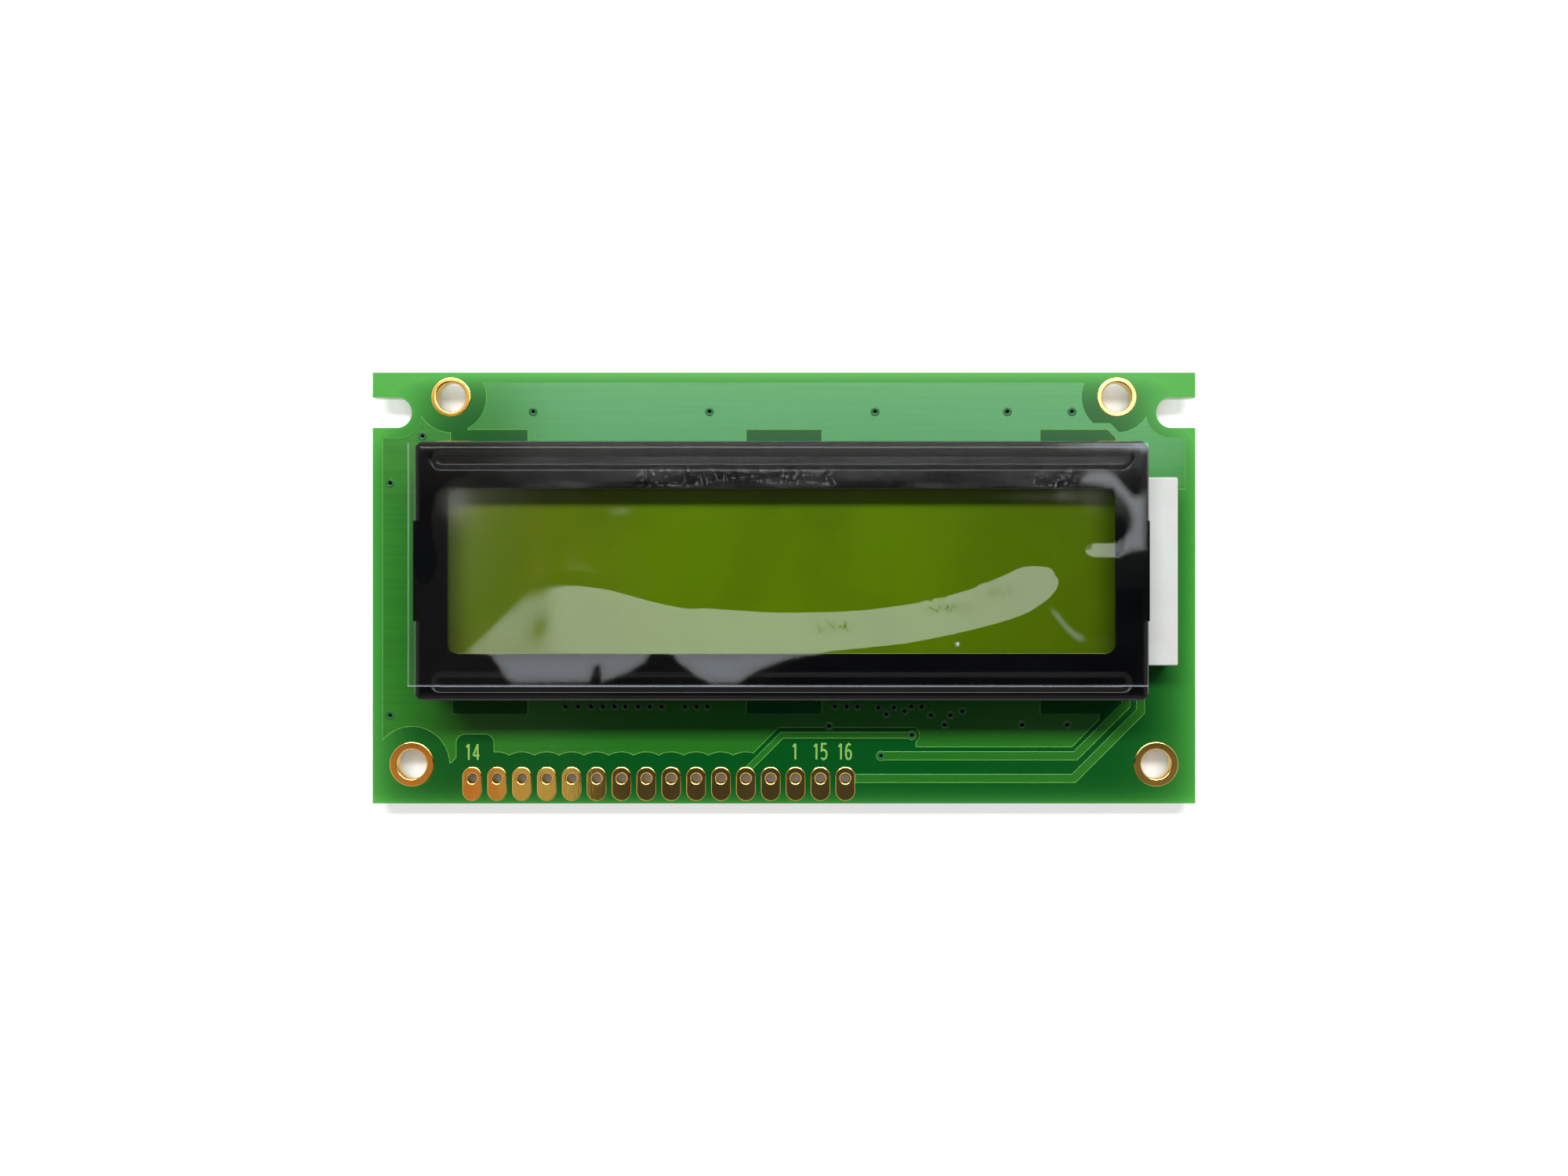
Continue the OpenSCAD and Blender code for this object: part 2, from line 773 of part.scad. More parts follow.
module backlight_solder() {
    color([0.78, 0.79, 0.8])
        for (p = light_pins)
            translate([p.x, p.y, z_back - copper_t - solder_h])
                difference() {
                    cylinder(h = solder_h, r1 = solder_tip_r, r2 = solder_r);
                    cube([pin_w, pin_w, 3 * solder_h], center = true);
                }
}

// ---------------------------------------------------------------- glass cell

module rear_polariser() {
    color([0.55, 0.62, 0.2])
        plate([polariser_w, polariser_h], polariser_t, z_rear_film);
}

module rear_glass() {
    color([0.75, 0.85, 0.8, 0.5])
        plate([glass_w, rear_glass_h], glass_t, z_rear_glass);
}

module cell_seal() {
    color([0.85, 0.85, 0.8])
        translate([0, display_y, z_cell])
            linear_extrude(cell_gap)
                difference() {
                    square([seal_l, seal_h], center = true);
                    square([seal_l - 2 * seal_w, seal_h - 2 * seal_w], center = true);
                }
}

module liquid_crystal() {
    color([0.5, 0.6, 0.1])
        plate([seal_l - 2 * seal_w, seal_h - 2 * seal_w], cell_gap, z_cell);
}

// Bead of resin over the fill port, on the left edge of the cell
module fill_plug() {
    bead_l = 4;
    bead_t = glass_gap * 0.7;
    bead_r = (bead_l * bead_l / 4 + bead_t * bead_t) / (2 * bead_t);
    h = cell_gap + glass_t;
    color([0.85, 0.8, 0.55])
        translate([-glass_w / 2, display_y, z_cell - glass_t / 2])
            intersection() {
                translate([bead_r - bead_t, 0, 0])
                    cylinder(h = h, r = bead_r, $fn = 240);
                translate([-1, -bead_l, 0])
                    cube([1, 2 * bead_l, h]);
            }
}

module front_glass() {
    color([0.75, 0.85, 0.8, 0.5])
        plate([glass_w, glass_h], glass_t, z_front_glass);
}

module front_polariser() {
    color([0.38, 0.45, 0.05])
        plate([polariser_w, polariser_h], polariser_t, z_glass_top);
}

// Rubber strip between the board's contact pads and a ledge of the front glass
module contact_strip(s) {
    color([0.2, 0.2, 0.22])
        translate([0, display_y + s * strip_y, z_seat])
            linear_extrude(z_front_glass - z_seat)
                square([strip_l, strip_w], center = true);
}

module upper_strip() contact_strip(1);
module lower_strip() contact_strip(-1);

// ---------------------------------------------------------------- bezel

// Section of the bezel's outside or inside: upright sides and rounded upper edges
module bent_section(w, top, r, bottom) {
    translate([-w / 2, bottom])
        square([w, top - r - bottom]);
    translate([r - w / 2, bottom])
        square([w - 2 * r, top - bottom]);
    for (s = [-1, 1])
        translate([s * (w / 2 - r), top - r])
            circle(r);
}

// Block with two pairs of rounded upper edges, which meet in mitres
module bent_block(inset, bottom) {
    w = bezel_w - 2 * inset;
    h = bezel_h - 2 * inset;
    top = bezel_depth - inset;
    r = bend_r - inset;
    intersection() {
        rotate([90, 0, 0])
            linear_extrude(bezel_h + 2, center = true)
                bent_section(w, top, r, bottom);
        rotate([90, 0, 90])
            linear_extrude(bezel_w + 2, center = true)
                bent_section(h, top, r, bottom);
    }
}

// Tapered trough with round ends: half width a at the top, b at the floor
module trough(a, b, depth) {
    straight = groove_l - groove_w;
    half = [[0, 0], [b, 0], [a, depth], [0, depth]];
    rotate([90, 0, 90])
        linear_extrude(straight, center = true)
            polygon([[-b, 0], [b, 0], [a, depth], [-a, depth]]);
    for (s = [-1, 1])
        translate([s * straight / 2, 0, 0])
            rotate([0, 0, s > 0 ? -90 : 90])
                rotate_extrude(angle = 180)
                    polygon(half);
}

// Everything cut away at one corner: a chamfer in plan, and a slit between the skirts
module corner_relief(sx, sy) {
    translate([sx * bezel_w / 2, sy * bezel_h / 2, -1])
        rotate(45) {
            linear_extrude(bezel_depth + 2)
                square(corner_cut * sqrt(2), center = true);
            rotate(sx * sy > 0 ? 0 : 90)
                linear_extrude(bezel_depth + 1 - bend_r)
                    square([4 * sheet_t, corner_slit], center = true);
        }
}

// Tab through the board with its head turned behind it
module twist_tab() {
    translate([-tab_neck / 2, -sheet_t / 2, z_back - eps])
        cube([tab_neck, sheet_t, z_seat - z_back + 2 * eps]);
    rotate(tab_twist)
        translate([-tab_head / 2, -sheet_t / 2, 0])
            cube([tab_head, sheet_t, z_back]);
}

module bezel() {
    // Sideways step of the grooves' underside, which keeps the sheet's thickness
    spread = sheet_t * tan(atan2(2 * groove_depth, groove_w - groove_floor) / 2);
    color([0.07, 0.07, 0.08]) {
        translate([0, display_y, z_seat])
            difference() {
                union() {
                    difference() {
                        bent_block(0, 0);
                        bent_block(sheet_t, -1);
                        for (sx = [-1, 1], sy = [-1, 1])
                            corner_relief(sx, sy);
                        // Gap in the middle of each end skirt
                        for (s = [-1, 1])
                            translate([s * bezel_w / 2, 0, 0])
                                cube([2 * bend_r, end_gap, 3 * bezel_depth], center = true);
                        // Way out for the backlight's end
                        translate([bezel_w / 2, 0, 0])
                            cube([4 * sheet_t, rear_glass_h + 2 * end_clearance,
                                  2 * (end_t + end_clearance)], center = true);
                    }
                    // Flat edge of the face across each gap
                    for (s = [-1, 1])
                        translate([s * (bezel_w / 2 - bend_r / 2 - lip_inset), 0, bezel_depth])
                            translate([0, 0, -sheet_t / 2])
                                cube([bend_r, end_gap, sheet_t], center = true);
                    // Underside of the pressed grooves
                    for (s = [-1, 1])
                        translate([0, s * groove_y, bezel_depth - sheet_t - groove_depth])
                            trough(groove_w / 2 + spread, groove_floor / 2 + spread, groove_depth);
                }
                for (s = [-1, 1])
                    translate([0, s * groove_y, bezel_depth - groove_depth])
                        trough(groove_w / 2, groove_floor / 2, groove_depth + eps);
                linear_extrude(bezel_depth + 1)
                    rounded_rect([window_w, window_h], window_r);
            }
        for (p = tabs)
            translate(p)
                twist_tab();
    }
}

module protective_film() {
    color([0.9, 0.93, 0.95, 0.25])
        translate([-(film_left + film_right) / 2, (film_bottom - film_top) / 2, 0])
            plate([film_w, film_h], film_t, z_bezel);
}

circuit_board();
front_copper();
back_copper();
header_pads();
fixing_rings();
upper_contacts();
lower_contacts();
upper_strip();
lower_strip();
backlight_housing();
reflector_sheet();
light_guide();
diffuser_sheet();
led_board();
led_chips();
backlight_pins();
backlight_pads();
backlight_solder();
rear_polariser();
rear_glass();
cell_seal();
liquid_crystal();
fill_plug();
front_glass();
front_polariser();
bezel();
protective_film();
controller_dome();
driver_dome();
resistors();
capacitors();
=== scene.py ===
import bmesh
import bpy
import numpy as np
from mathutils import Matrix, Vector


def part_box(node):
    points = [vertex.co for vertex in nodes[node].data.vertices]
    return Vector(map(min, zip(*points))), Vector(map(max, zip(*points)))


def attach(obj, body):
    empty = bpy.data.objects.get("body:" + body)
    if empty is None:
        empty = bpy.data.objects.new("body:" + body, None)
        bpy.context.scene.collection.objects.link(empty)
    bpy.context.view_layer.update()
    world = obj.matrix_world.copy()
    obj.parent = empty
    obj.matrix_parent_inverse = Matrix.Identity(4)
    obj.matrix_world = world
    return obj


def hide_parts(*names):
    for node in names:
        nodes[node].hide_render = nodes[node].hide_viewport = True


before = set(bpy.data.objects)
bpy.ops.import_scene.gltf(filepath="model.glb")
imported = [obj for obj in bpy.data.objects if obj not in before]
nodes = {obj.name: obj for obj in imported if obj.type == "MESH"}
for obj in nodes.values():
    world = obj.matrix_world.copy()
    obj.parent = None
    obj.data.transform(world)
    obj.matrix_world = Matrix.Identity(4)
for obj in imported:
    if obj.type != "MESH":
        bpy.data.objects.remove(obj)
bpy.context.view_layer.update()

# ---------------------------------------------------------------- table and lamps
# The module lies on a pale table, on the tips of its bezel's tabs, under one long lamp that
# stands back from its top edge. Cards high above are seen by gloss alone: two bright ones give
# the sheen, and dark, tan and grey ones keep steel, film and gold from mirroring a white room.
MM = 0.001


def millimetres(node):
    """Lowest and highest corner of a CAD node, in millimetres."""
    return [np.array(corner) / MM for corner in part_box(node)]


def srgb(red, green, blue):
    """Linear colour with alpha from screen values of 0 to 255."""
    part = np.array([red, green, blue]) / 255
    linear = np.where(part <= 0.04045, part / 12.92, ((part + 0.055) / 1.055) ** 2.4)
    return (*(float(value) for value in linear), 1.0)


def wire(tree, kind, settings=None, **inputs):
    """Adds a shader node: an input value goes on the socket, an output socket is linked to it."""
    node = tree.nodes.new("ShaderNode" + kind)
    for name, value in (settings or {}).items():
        setattr(node, name, value)
    for name, value in inputs.items():
        socket = node.inputs[int(name[1:])] if name[0] == "_" else node.inputs[name.replace("_", " ")]
        if isinstance(value, bpy.types.NodeSocket):
            tree.links.new(value, socket)
        else:
            socket.default_value = value
    return node


def calc(tree, operation, first, second=0.0, clamp=False):
    """One Math node; returns its output."""
    node = wire(tree, "Math", {"operation": operation, "use_clamp": clamp}, _0=first, _1=second)
    return node.outputs[0]


def ramp(tree, value, low, high, start=0.0, end=1.0):
    """Smooth step of a value from start to end while it goes from low to high."""
    settings = {"interpolation_type": "SMOOTHSTEP"}
    return wire(tree, "MapRange", settings, _0=value, _1=low, _2=high, _3=start, _4=end).outputs[0]


def new_material(name, **plain):
    """Material with one Principled shader, whose plain values go on its own sockets."""
    material = bpy.data.materials.new(name)
    material.use_nodes = True
    shader = material.node_tree.nodes["Principled BSDF"]
    for socket, value in plain.items():
        shader.inputs[socket.replace("_", " ")].default_value = value
    return material


def seen_directly(tree):
    """1 for rays from the camera and those that gloss or glass sends on, and 0 for all others."""
    ray = wire(tree, "LightPath").outputs
    sent_on = calc(tree, "MAXIMUM", ray["Is Glossy Ray"], ray["Is Transmission Ray"])
    return calc(tree, "MAXIMUM", sent_on, ray["Is Camera Ray"])


def flat_card(name, left, front, right, back, height):
    """Object of one level rectangle with its sides in metres. It faces down, or up where its left
    and right are swapped."""
    mesh = bpy.data.meshes.new(name)
    outline = [(left, front), (left, back), (right, back), (right, front)]
    mesh.from_pydata([(*corner, height) for corner in outline], [], [(0, 1, 2, 3)])
    card = bpy.data.objects.new(name, mesh)
    scene.collection.objects.link(card)
    return card


def glowing_card(name, left, front, right, back, colour, strength):
    """Card at the cards' height that shines downward, for gloss alone."""
    card = flat_card(name, left, front, right, back, CARD_HEIGHT)
    material = new_material(name, Base_Color=(0, 0, 0, 1), Specular_IOR_Level=0.0)
    shader = material.node_tree.nodes["Principled BSDF"]
    shader.inputs["Emission Color"].default_value = colour
    shader.inputs["Emission Strength"].default_value = strength
    card.data.materials.append(material)
    for ray in ("camera", "diffuse", "shadow", "transmission"):
        setattr(card, "visible_" + ray, False)


scene = bpy.context.scene
scene.view_settings.view_transform = "Standard"
board_low, board_high = millimetres("circuit_board")
FRONT = board_high[2]

CAMERA_SIDE = 4.5
CAMERA_RISE = 155.0
camera_data = bpy.data.cameras.new("camera")
camera_data.sensor_width = 36
camera_data.lens = 34.85
camera_data.shift_x = -0.0281
camera_data.clip_start = 0.005
camera = bpy.data.objects.new("camera", camera_data)
camera.location = (CAMERA_SIDE * MM, 0, (FRONT + CAMERA_RISE) * MM)
scene.collection.objects.link(camera)
scene.camera = camera

LAMP_WATTS = 11.0
LAMP_LENGTH, LAMP_WIDTH = 1.0, 0.15
LAMP_PLACE = Vector((0, 0.506, 1)).normalized()
lamp = bpy.data.lights.new("long_lamp", "AREA")
lamp.shape = "RECTANGLE"
lamp.size, lamp.size_y = LAMP_LENGTH, LAMP_WIDTH
lamp.energy = LAMP_WATTS
lamp_stand = bpy.data.objects.new("long_lamp", lamp)
lamp_stand.location = LAMP_PLACE
lamp_stand.rotation_euler = LAMP_PLACE.to_track_quat("Z", "Y").to_euler()
scene.collection.objects.link(lamp_stand)

CARD_HEIGHT = 3.1
CARD_END = 2.2
NEAR_LINE, FAR_LINE, PANEL_BACK = -0.33, 0.245, 1.13
LEFT_LINE, PANEL_LEFT = -0.52, -0.66
WHITE = (1, 1, 1, 1)
glowing_card("sheen_panel", PANEL_LEFT, FAR_LINE, 0.775, PANEL_BACK, WHITE, 4.0)
glowing_card("side_panel", -1.0, 0.46, PANEL_LEFT, PANEL_BACK, WHITE, 4.0)
glowing_card("dark_card", LEFT_LINE, NEAR_LINE, CARD_END, FAR_LINE, WHITE, 0.01)
glowing_card("left_card", -CARD_END, NEAR_LINE, LEFT_LINE, FAR_LINE, WHITE, 0.05)
glowing_card("brown_card", LEFT_LINE, -CARD_END, 0.35, NEAR_LINE, srgb(235, 240, 255), 0.085)
glowing_card("right_card", 0.35, -CARD_END, CARD_END, NEAR_LINE, srgb(255, 238, 220), 0.24)
glowing_card("straw_card", -0.69, -CARD_END, LEFT_LINE, NEAR_LINE, srgb(255, 248, 212), 0.57)
glowing_card("tan_card", -CARD_END, -CARD_END, -0.69, NEAR_LINE, srgb(230, 168, 126), 0.75)
glowing_card("grey_card", -CARD_END, FAR_LINE, PANEL_LEFT, 0.46, srgb(240, 220, 176), 0.8)

ROOM_LIGHT = 0.15
world = bpy.data.worlds.new("room")
scene.world = world
world.use_nodes = True
room = world.node_tree
strength = calc(room, "ADD", calc(room, "MULTIPLY", seen_directly(room), 1 - ROOM_LIGHT), ROOM_LIGHT)
room.links.new(strength, room.nodes["Background"].inputs["Strength"])
room.nodes["Background"].inputs["Color"].default_value = WHITE

FLOOR = 6.0
SHADE_REACH = 0.008
FLOOR_GLOW = 0.62
floor = flat_card("table", FLOOR, -FLOOR, -FLOOR, FLOOR, 0)
table_paint = new_material("table_paint", Base_Color=(0.8, 0.8, 0.8, 1), Roughness=0.7)
tree = table_paint.node_tree
table_shader = tree.nodes["Principled BSDF"]
table_shader.inputs["Emission Color"].default_value = WHITE
# Painted shade: the table's white glow fades where the ambient occlusion finds it enclosed, in the holes and
# under the board's edges.
open_sky = wire(tree, "AmbientOcclusion", Distance=SHADE_REACH).outputs["AO"]
glow_with_painted_shade = calc(tree, "MULTIPLY", ramp(tree, open_sky, 0.08, 0.48, 0.0, FLOOR_GLOW), seen_directly(tree))
tree.links.new(glow_with_painted_shade, table_shader.inputs["Emission Strength"])
floor.data.materials.append(table_paint)

# ---------------------------------------------------------------- circuit board
# Glass-fibre laminate under a glossy green solder mask. The laminate lets light through; that light is
# painted into the colour, so bare board is painted paler near its outer edges and slots, most along the
# far long side on the lamp's side, and the routed sides show its pale layers.


def mix_colour(tree, share, first, second):
    """Mixes two colours by a share of 0 to 1; returns the colour."""
    return wire(tree, "Mix", {"data_type": "RGBA"}, _0=share, _6=first, _7=second).outputs[2]


def mottle_group():
    """Group for uneven colour, gloss and relief: broad patches tint the colour and shift the
    roughness, and a fine grain shades it and gives the relief, all from two noises."""
    group = bpy.data.node_groups.new("mottle", "ShaderNodeTree")
    sockets = group.interface
    for name in ("Colour", "Tint"):
        sockets.new_socket(name, in_out="INPUT", socket_type="NodeSocketColor")
    for name in ("Patch Scale", "Patch Share", "Grain Scale", "Grain Share", "Roughness", "Spread",
                 "Relief"):
        sockets.new_socket(name, in_out="INPUT", socket_type="NodeSocketFloat")
    sockets.new_socket("Stretch", in_out="INPUT", socket_type="NodeSocketVector")
    sockets.new_socket("Colour", in_out="OUTPUT", socket_type="NodeSocketColor")
    sockets.new_socket("Roughness", in_out="OUTPUT", socket_type="NodeSocketFloat")
    sockets.new_socket("Normal", in_out="OUTPUT", socket_type="NodeSocketVector")
    given = group.nodes.new("NodeGroupInput").outputs
    place = wire(group, "TexCoord").outputs["Object"]
    place = wire(group, "VectorMath", {"operation": "MULTIPLY"}, _0=place, _1=given["Stretch"]).outputs[0]
    patches = wire(group, "TexNoise", Vector=place, Scale=given["Patch Scale"], Detail=3.0).outputs[0]
    grain = wire(group, "TexNoise", Vector=place, Scale=given["Grain Scale"], Detail=2.0).outputs[0]
    share = calc(group, "MULTIPLY", ramp(group, patches, 0.35, 0.65), given["Patch Share"])
    tinted = mix_colour(group, share, given["Colour"], given["Tint"])
    shade = calc(group, "MULTIPLY", calc(group, "SUBTRACT", grain, 0.5), given["Grain Share"])
    shaded = wire(group, "HueSaturation", Color=tinted, Value=calc(group, "ADD", shade, 1.0)).outputs[0]
    sway = calc(group, "MULTIPLY", calc(group, "SUBTRACT", patches, 0.5), given["Spread"])
    rough = calc(group, "ADD", given["Roughness"], sway, clamp=True)
    relief = wire(group, "Bump", Height=grain, Distance=given["Relief"]).outputs[0]
    out = group.nodes.new("NodeGroupOutput").inputs
    for socket, value in (("Colour", shaded), ("Roughness", rough), ("Normal", relief)):
        group.links.new(value, out[socket])
    return group


mottle = mottle_group()


def mottled(name, colour, tint, patches, grain, rough, relief, stretch=(1, 1, 1), **plain):
    """Material from the mottle group: patches and grain are pairs of scale and share, rough is the
    roughness and its spread, relief is in metres, and plain values go on the shader itself."""
    material = new_material(name, **plain)
    tree = material.node_tree
    shader = tree.nodes["Principled BSDF"]
    effect = wire(tree, "Group", {"node_tree": mottle})
    values = {
        "Colour": colour, "Tint": tint, "Patch Scale": patches[0], "Patch Share": patches[1],
        "Grain Scale": grain[0], "Grain Share": grain[1], "Roughness": rough[0], "Spread": rough[1],
        "Relief": relief, "Stretch": stretch,
    }
    for socket, value in values.items():
        effect.inputs[socket].default_value = value
    for source, target in (("Colour", "Base Color"), ("Roughness", "Roughness"), ("Normal", "Normal")):
        tree.links.new(effect.outputs[source], shader.inputs[target])
    return material


def place_axes(tree):
    """The x, y and z outputs of the place on the object, in metres."""
    return wire(tree, "SeparateXYZ", Vector=wire(tree, "TexCoord").outputs["Object"]).outputs


def face_axes(tree):
    """The x, y and z outputs of the way a face looks."""
    return wire(tree, "SeparateXYZ", Vector=wire(tree, "NewGeometry").outputs["Normal"]).outputs


def stretched_noise(tree, scale, detail, turn=0.0):
    """Noise on the object's place, turned about the upright and drawn out by its own scale along
    each axis."""
    place = wire(tree, "TexCoord").outputs["Object"]
    drawn = wire(tree, "Mapping", Vector=place, Rotation=(0, 0, turn), Scale=scale).outputs[0]
    return wire(tree, "TexNoise", Vector=drawn, Scale=1.0, Detail=detail).outputs[0]


def paint(material, colour, tint=None):
    """Feeds a worked-out colour, and its tint where it has one, to a material's mottle group."""
    tree = material.node_tree
    effect = next(node for node in tree.nodes if node.type == "GROUP")
    tree.links.new(colour, effect.inputs["Colour"])
    if tint:
        tree.links.new(tint, effect.inputs["Tint"])


SLOT_X, SLOT_Y, SLOT_RADIUS = 39.55, 17.9, 1.55


def painted_edge_glow(tree, reach):
    """Mask of painted light, standing in for the light that bleeds into the laminate. The short sides, the
    long sides and the two side slots each add their share times e to the power of minus distance over
    reach, both in millimetres; the far long side, on the lamp's side, is painted brightest, and the near
    one a third as far."""
    axes = place_axes(tree)
    across = calc(tree, "ABSOLUTE", axes[0])
    side = calc(tree, "SUBTRACT", board_high[0] * MM, across)
    far = calc(tree, "SUBTRACT", board_high[1] * MM, axes[1])
    near = calc(tree, "SUBTRACT", axes[1], board_low[1] * MM)
    slot_x = calc(tree, "MAXIMUM", calc(tree, "SUBTRACT", SLOT_X * MM, across), 0.0)
    slot_y = calc(tree, "SUBTRACT", axes[1], SLOT_Y * MM)
    squares = [calc(tree, "MULTIPLY", leg, leg) for leg in (slot_x, slot_y)]
    slot = calc(tree, "SUBTRACT", calc(tree, "SQRT", calc(tree, "ADD", *squares)), SLOT_RADIUS * MM)
    glows = ((side, 0.75, reach), (far, 1.2, 1.5), (near, 0.5, reach / 3), (slot, 0.55, reach))
    total = 0.0
    for distance, share, length in glows:
        faded = calc(tree, "EXPONENT", calc(tree, "DIVIDE", distance, -length * MM))
        total = calc(tree, "ADD", total, calc(tree, "MULTIPLY", faded, share), clamp=True)
    return total


BARE_GREEN, BARE_PAINTED_GLOW = srgb(6, 84, 28), srgb(84, 180, 74)
BARE_REACH = 2.2
MASK_GRAIN = {"patches": (60, 0.0), "rough": (0.12, 0.06), "relief": 1.5e-6, "IOR": 1.52}
bare_mask = mottled("bare_mask", BARE_GREEN, BARE_GREEN, grain=(1400, 0.10), Specular_IOR_Level=0.16,
                    **MASK_GRAIN)
tree = bare_mask.node_tree
# Painted light: bare board is painted paler where light would bleed in from its edges and slots.
face = mix_colour(tree, painted_edge_glow(tree, BARE_REACH), BARE_GREEN, BARE_PAINTED_GLOW)
routed = ramp(tree, calc(tree, "ABSOLUTE", face_axes(tree)[2]), 0.2, 0.8, 1.0, 0.0)
layers = stretched_noise(tree, (500, 500, 9000), 3.0)
laminate = mix_colour(tree, layers, srgb(150, 175, 96), srgb(196, 200, 140))
colour = mix_colour(tree, routed, face, laminate)
paint(bare_mask, colour, colour)


def dress(node, material):
    """Gives a CAD node its finished material."""
    nodes[node].data.materials.clear()
    nodes[node].data.materials.append(material)


dress("circuit_board", bare_mask)

# ---------------------------------------------------------------- etched copper, front and back
# Copper fields and traces 0.05 mm thick, lying on the laminate under the same green mask. The
# mask is thinner over the front copper's edges, so a fine yellow-green line follows its outlines;
# its brightness is painted light, brighter where a rim faces away from the lamp.
SHARP = np.radians(35)
RIM_WIDTH = 0.05
RIM_DROP = 0.015


def new_piece(name, mesh, replaced=(), smooth=True):
    """Object for a finished mesh, riding on the module; the CAD nodes it replaces are hidden."""
    piece = bpy.data.objects.new(name, mesh)
    scene.collection.objects.link(piece)
    if smooth:
        mesh.shade_smooth()
        mesh.set_sharp_from_angle(angle=SHARP)
    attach(piece, "root")
    if replaced:
        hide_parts(*replaced)
    return piece


def etched_copper(name, node, field, rim):
    """Merged copy of a copper node whose upper face gets a narrow rim that slopes down to its
    outline: the face is inset by the rim's width and its old outline is lowered."""
    shape = bmesh.new()
    shape.from_mesh(nodes[node].data)
    bmesh.ops.remove_doubles(shape, verts=shape.verts, dist=2e-6)
    bmesh.ops.dissolve_limit(shape, angle_limit=0.02, verts=shape.verts, edges=shape.edges)
    top = [face for face in shape.faces if face.normal.z > 0.9]
    inset = bmesh.ops.inset_region(shape, faces=top, thickness=RIM_WIDTH * MM, use_even_offset=True)
    inner = {vert for face in top for vert in face.verts}
    lowered = {vert for face in inset["faces"] for vert in face.verts} - inner
    bmesh.ops.translate(shape, vec=(0, 0, -RIM_DROP * MM), verts=list(lowered))
    for face in inset["faces"]:
        face.material_index = 1
    bmesh.ops.triangulate(shape, faces=shape.faces)
    mesh = bpy.data.meshes.new(name)
    shape.to_mesh(mesh)
    shape.free()
    mesh.materials.append(field)
    mesh.materials.append(rim)
    return new_piece(name, mesh, (node,), smooth=False)


COPPER_GREEN, COPPER_PAINTED_GLOW = srgb(39, 120, 30), srgb(64, 142, 52)
COPPER_REACH = 4.0
field_mask = mottled("field_mask", COPPER_GREEN, COPPER_GREEN, grain=(900, 0.12), Specular_IOR_Level=0.76,
                     Specular_Tint=(0.54, 1.0, 0.7, 1), **MASK_GRAIN)
tree = field_mask.node_tree
streaks = ramp(tree, stretched_noise(tree, (60, 2600, 1), 4.0), 0.3, 0.75)
# Painted light: copper fields are painted lighter towards the board's edges and slots, most along the far
# long side on the lamp's side.
body = mix_colour(tree, painted_edge_glow(tree, COPPER_REACH), COPPER_GREEN, COPPER_PAINTED_GLOW)
body = mix_colour(tree, calc(tree, "MULTIPLY", streaks, 0.32), body, srgb(32, 100, 32))
paint(field_mask, body, body)

rim_mask = mottled("rim_mask", COPPER_GREEN, COPPER_GREEN, (60, 0.0), (900, 0.12), (0.3, 0.05), 3e-6,
                   IOR=1.52, Specular_IOR_Level=0.2)
tree = rim_mask.node_tree
# Painted light: rims facing away from the lamp get the brighter yellow-green, those facing it the darker one.
painted_bright_side = ramp(tree, face_axes(tree)[1], -0.25, 0.25, 1.0, 0.0)
rim_colour = mix_colour(tree, painted_bright_side, srgb(72, 160, 60), srgb(146, 208, 96))
paint(rim_mask, rim_colour, rim_colour)

etched_copper("copper_front", "front_copper", field_mask, rim_mask)
dress("back_copper", field_mask)

# ---------------------------------------------------------------- plated pads and rings
# Sixteen header holes, four fixing holes and the two backlight holes, gold plated through the
# board. Each is one shell: its bore, with rounded lips, and a flat ring on either face.


def quads(rows, columns, wrap_rows=False, wrap_columns=False):
    """Corner numbers of the faces of a grid of points, closed round where it wraps."""
    row = np.arange(rows if wrap_rows else rows - 1)[:, None]
    column = np.arange(columns if wrap_columns else columns - 1)[None, :]
    below = (row + 1) % rows
    beside = (column + 1) % columns
    above, under = row * columns, below * columns
    corners = (above + column, above + beside, under + beside, under + column)
    return np.stack(corners, axis=-1).reshape(-1, 4)


def shell_mesh(name, parts, *materials, merge=1e-7):
    """Mesh in metres from parts given as points in millimetres and faces: points that no face
    uses are dropped, those closer than the merging distance become one, and faces turn outward."""
    points, faces, start = [], [], 0
    for part_points, part_faces in parts:
        points.append(part_points.reshape(-1, 3))
        faces.extend((part_faces + start).tolist())
        start += len(points[-1])
    mesh = bpy.data.meshes.new(name)
    mesh.from_pydata((np.concatenate(points) * MM).tolist(), [], faces)
    shape = bmesh.new()
    shape.from_mesh(mesh)
    loose = [vert for vert in shape.verts if not vert.link_faces]
    bmesh.ops.delete(shape, geom=loose, context="VERTS")
    bmesh.ops.remove_doubles(shape, verts=shape.verts, dist=merge)
    bmesh.ops.recalc_face_normals(shape, faces=shape.faces)
    shape.to_mesh(mesh)
    shape.free()
    for material in materials:
        mesh.materials.append(material)
    return mesh


BACK = board_low[2]
PLATING = 0.05
LIP = 0.12
EDGE_WIDTH, EDGE_DROP = 0.05, 0.02
TURN = np.linspace(0, 2 * np.pi, 72, endpoint=False)
RING_DIRECTION = np.stack([np.cos(TURN), np.sin(TURN)], axis=-1)


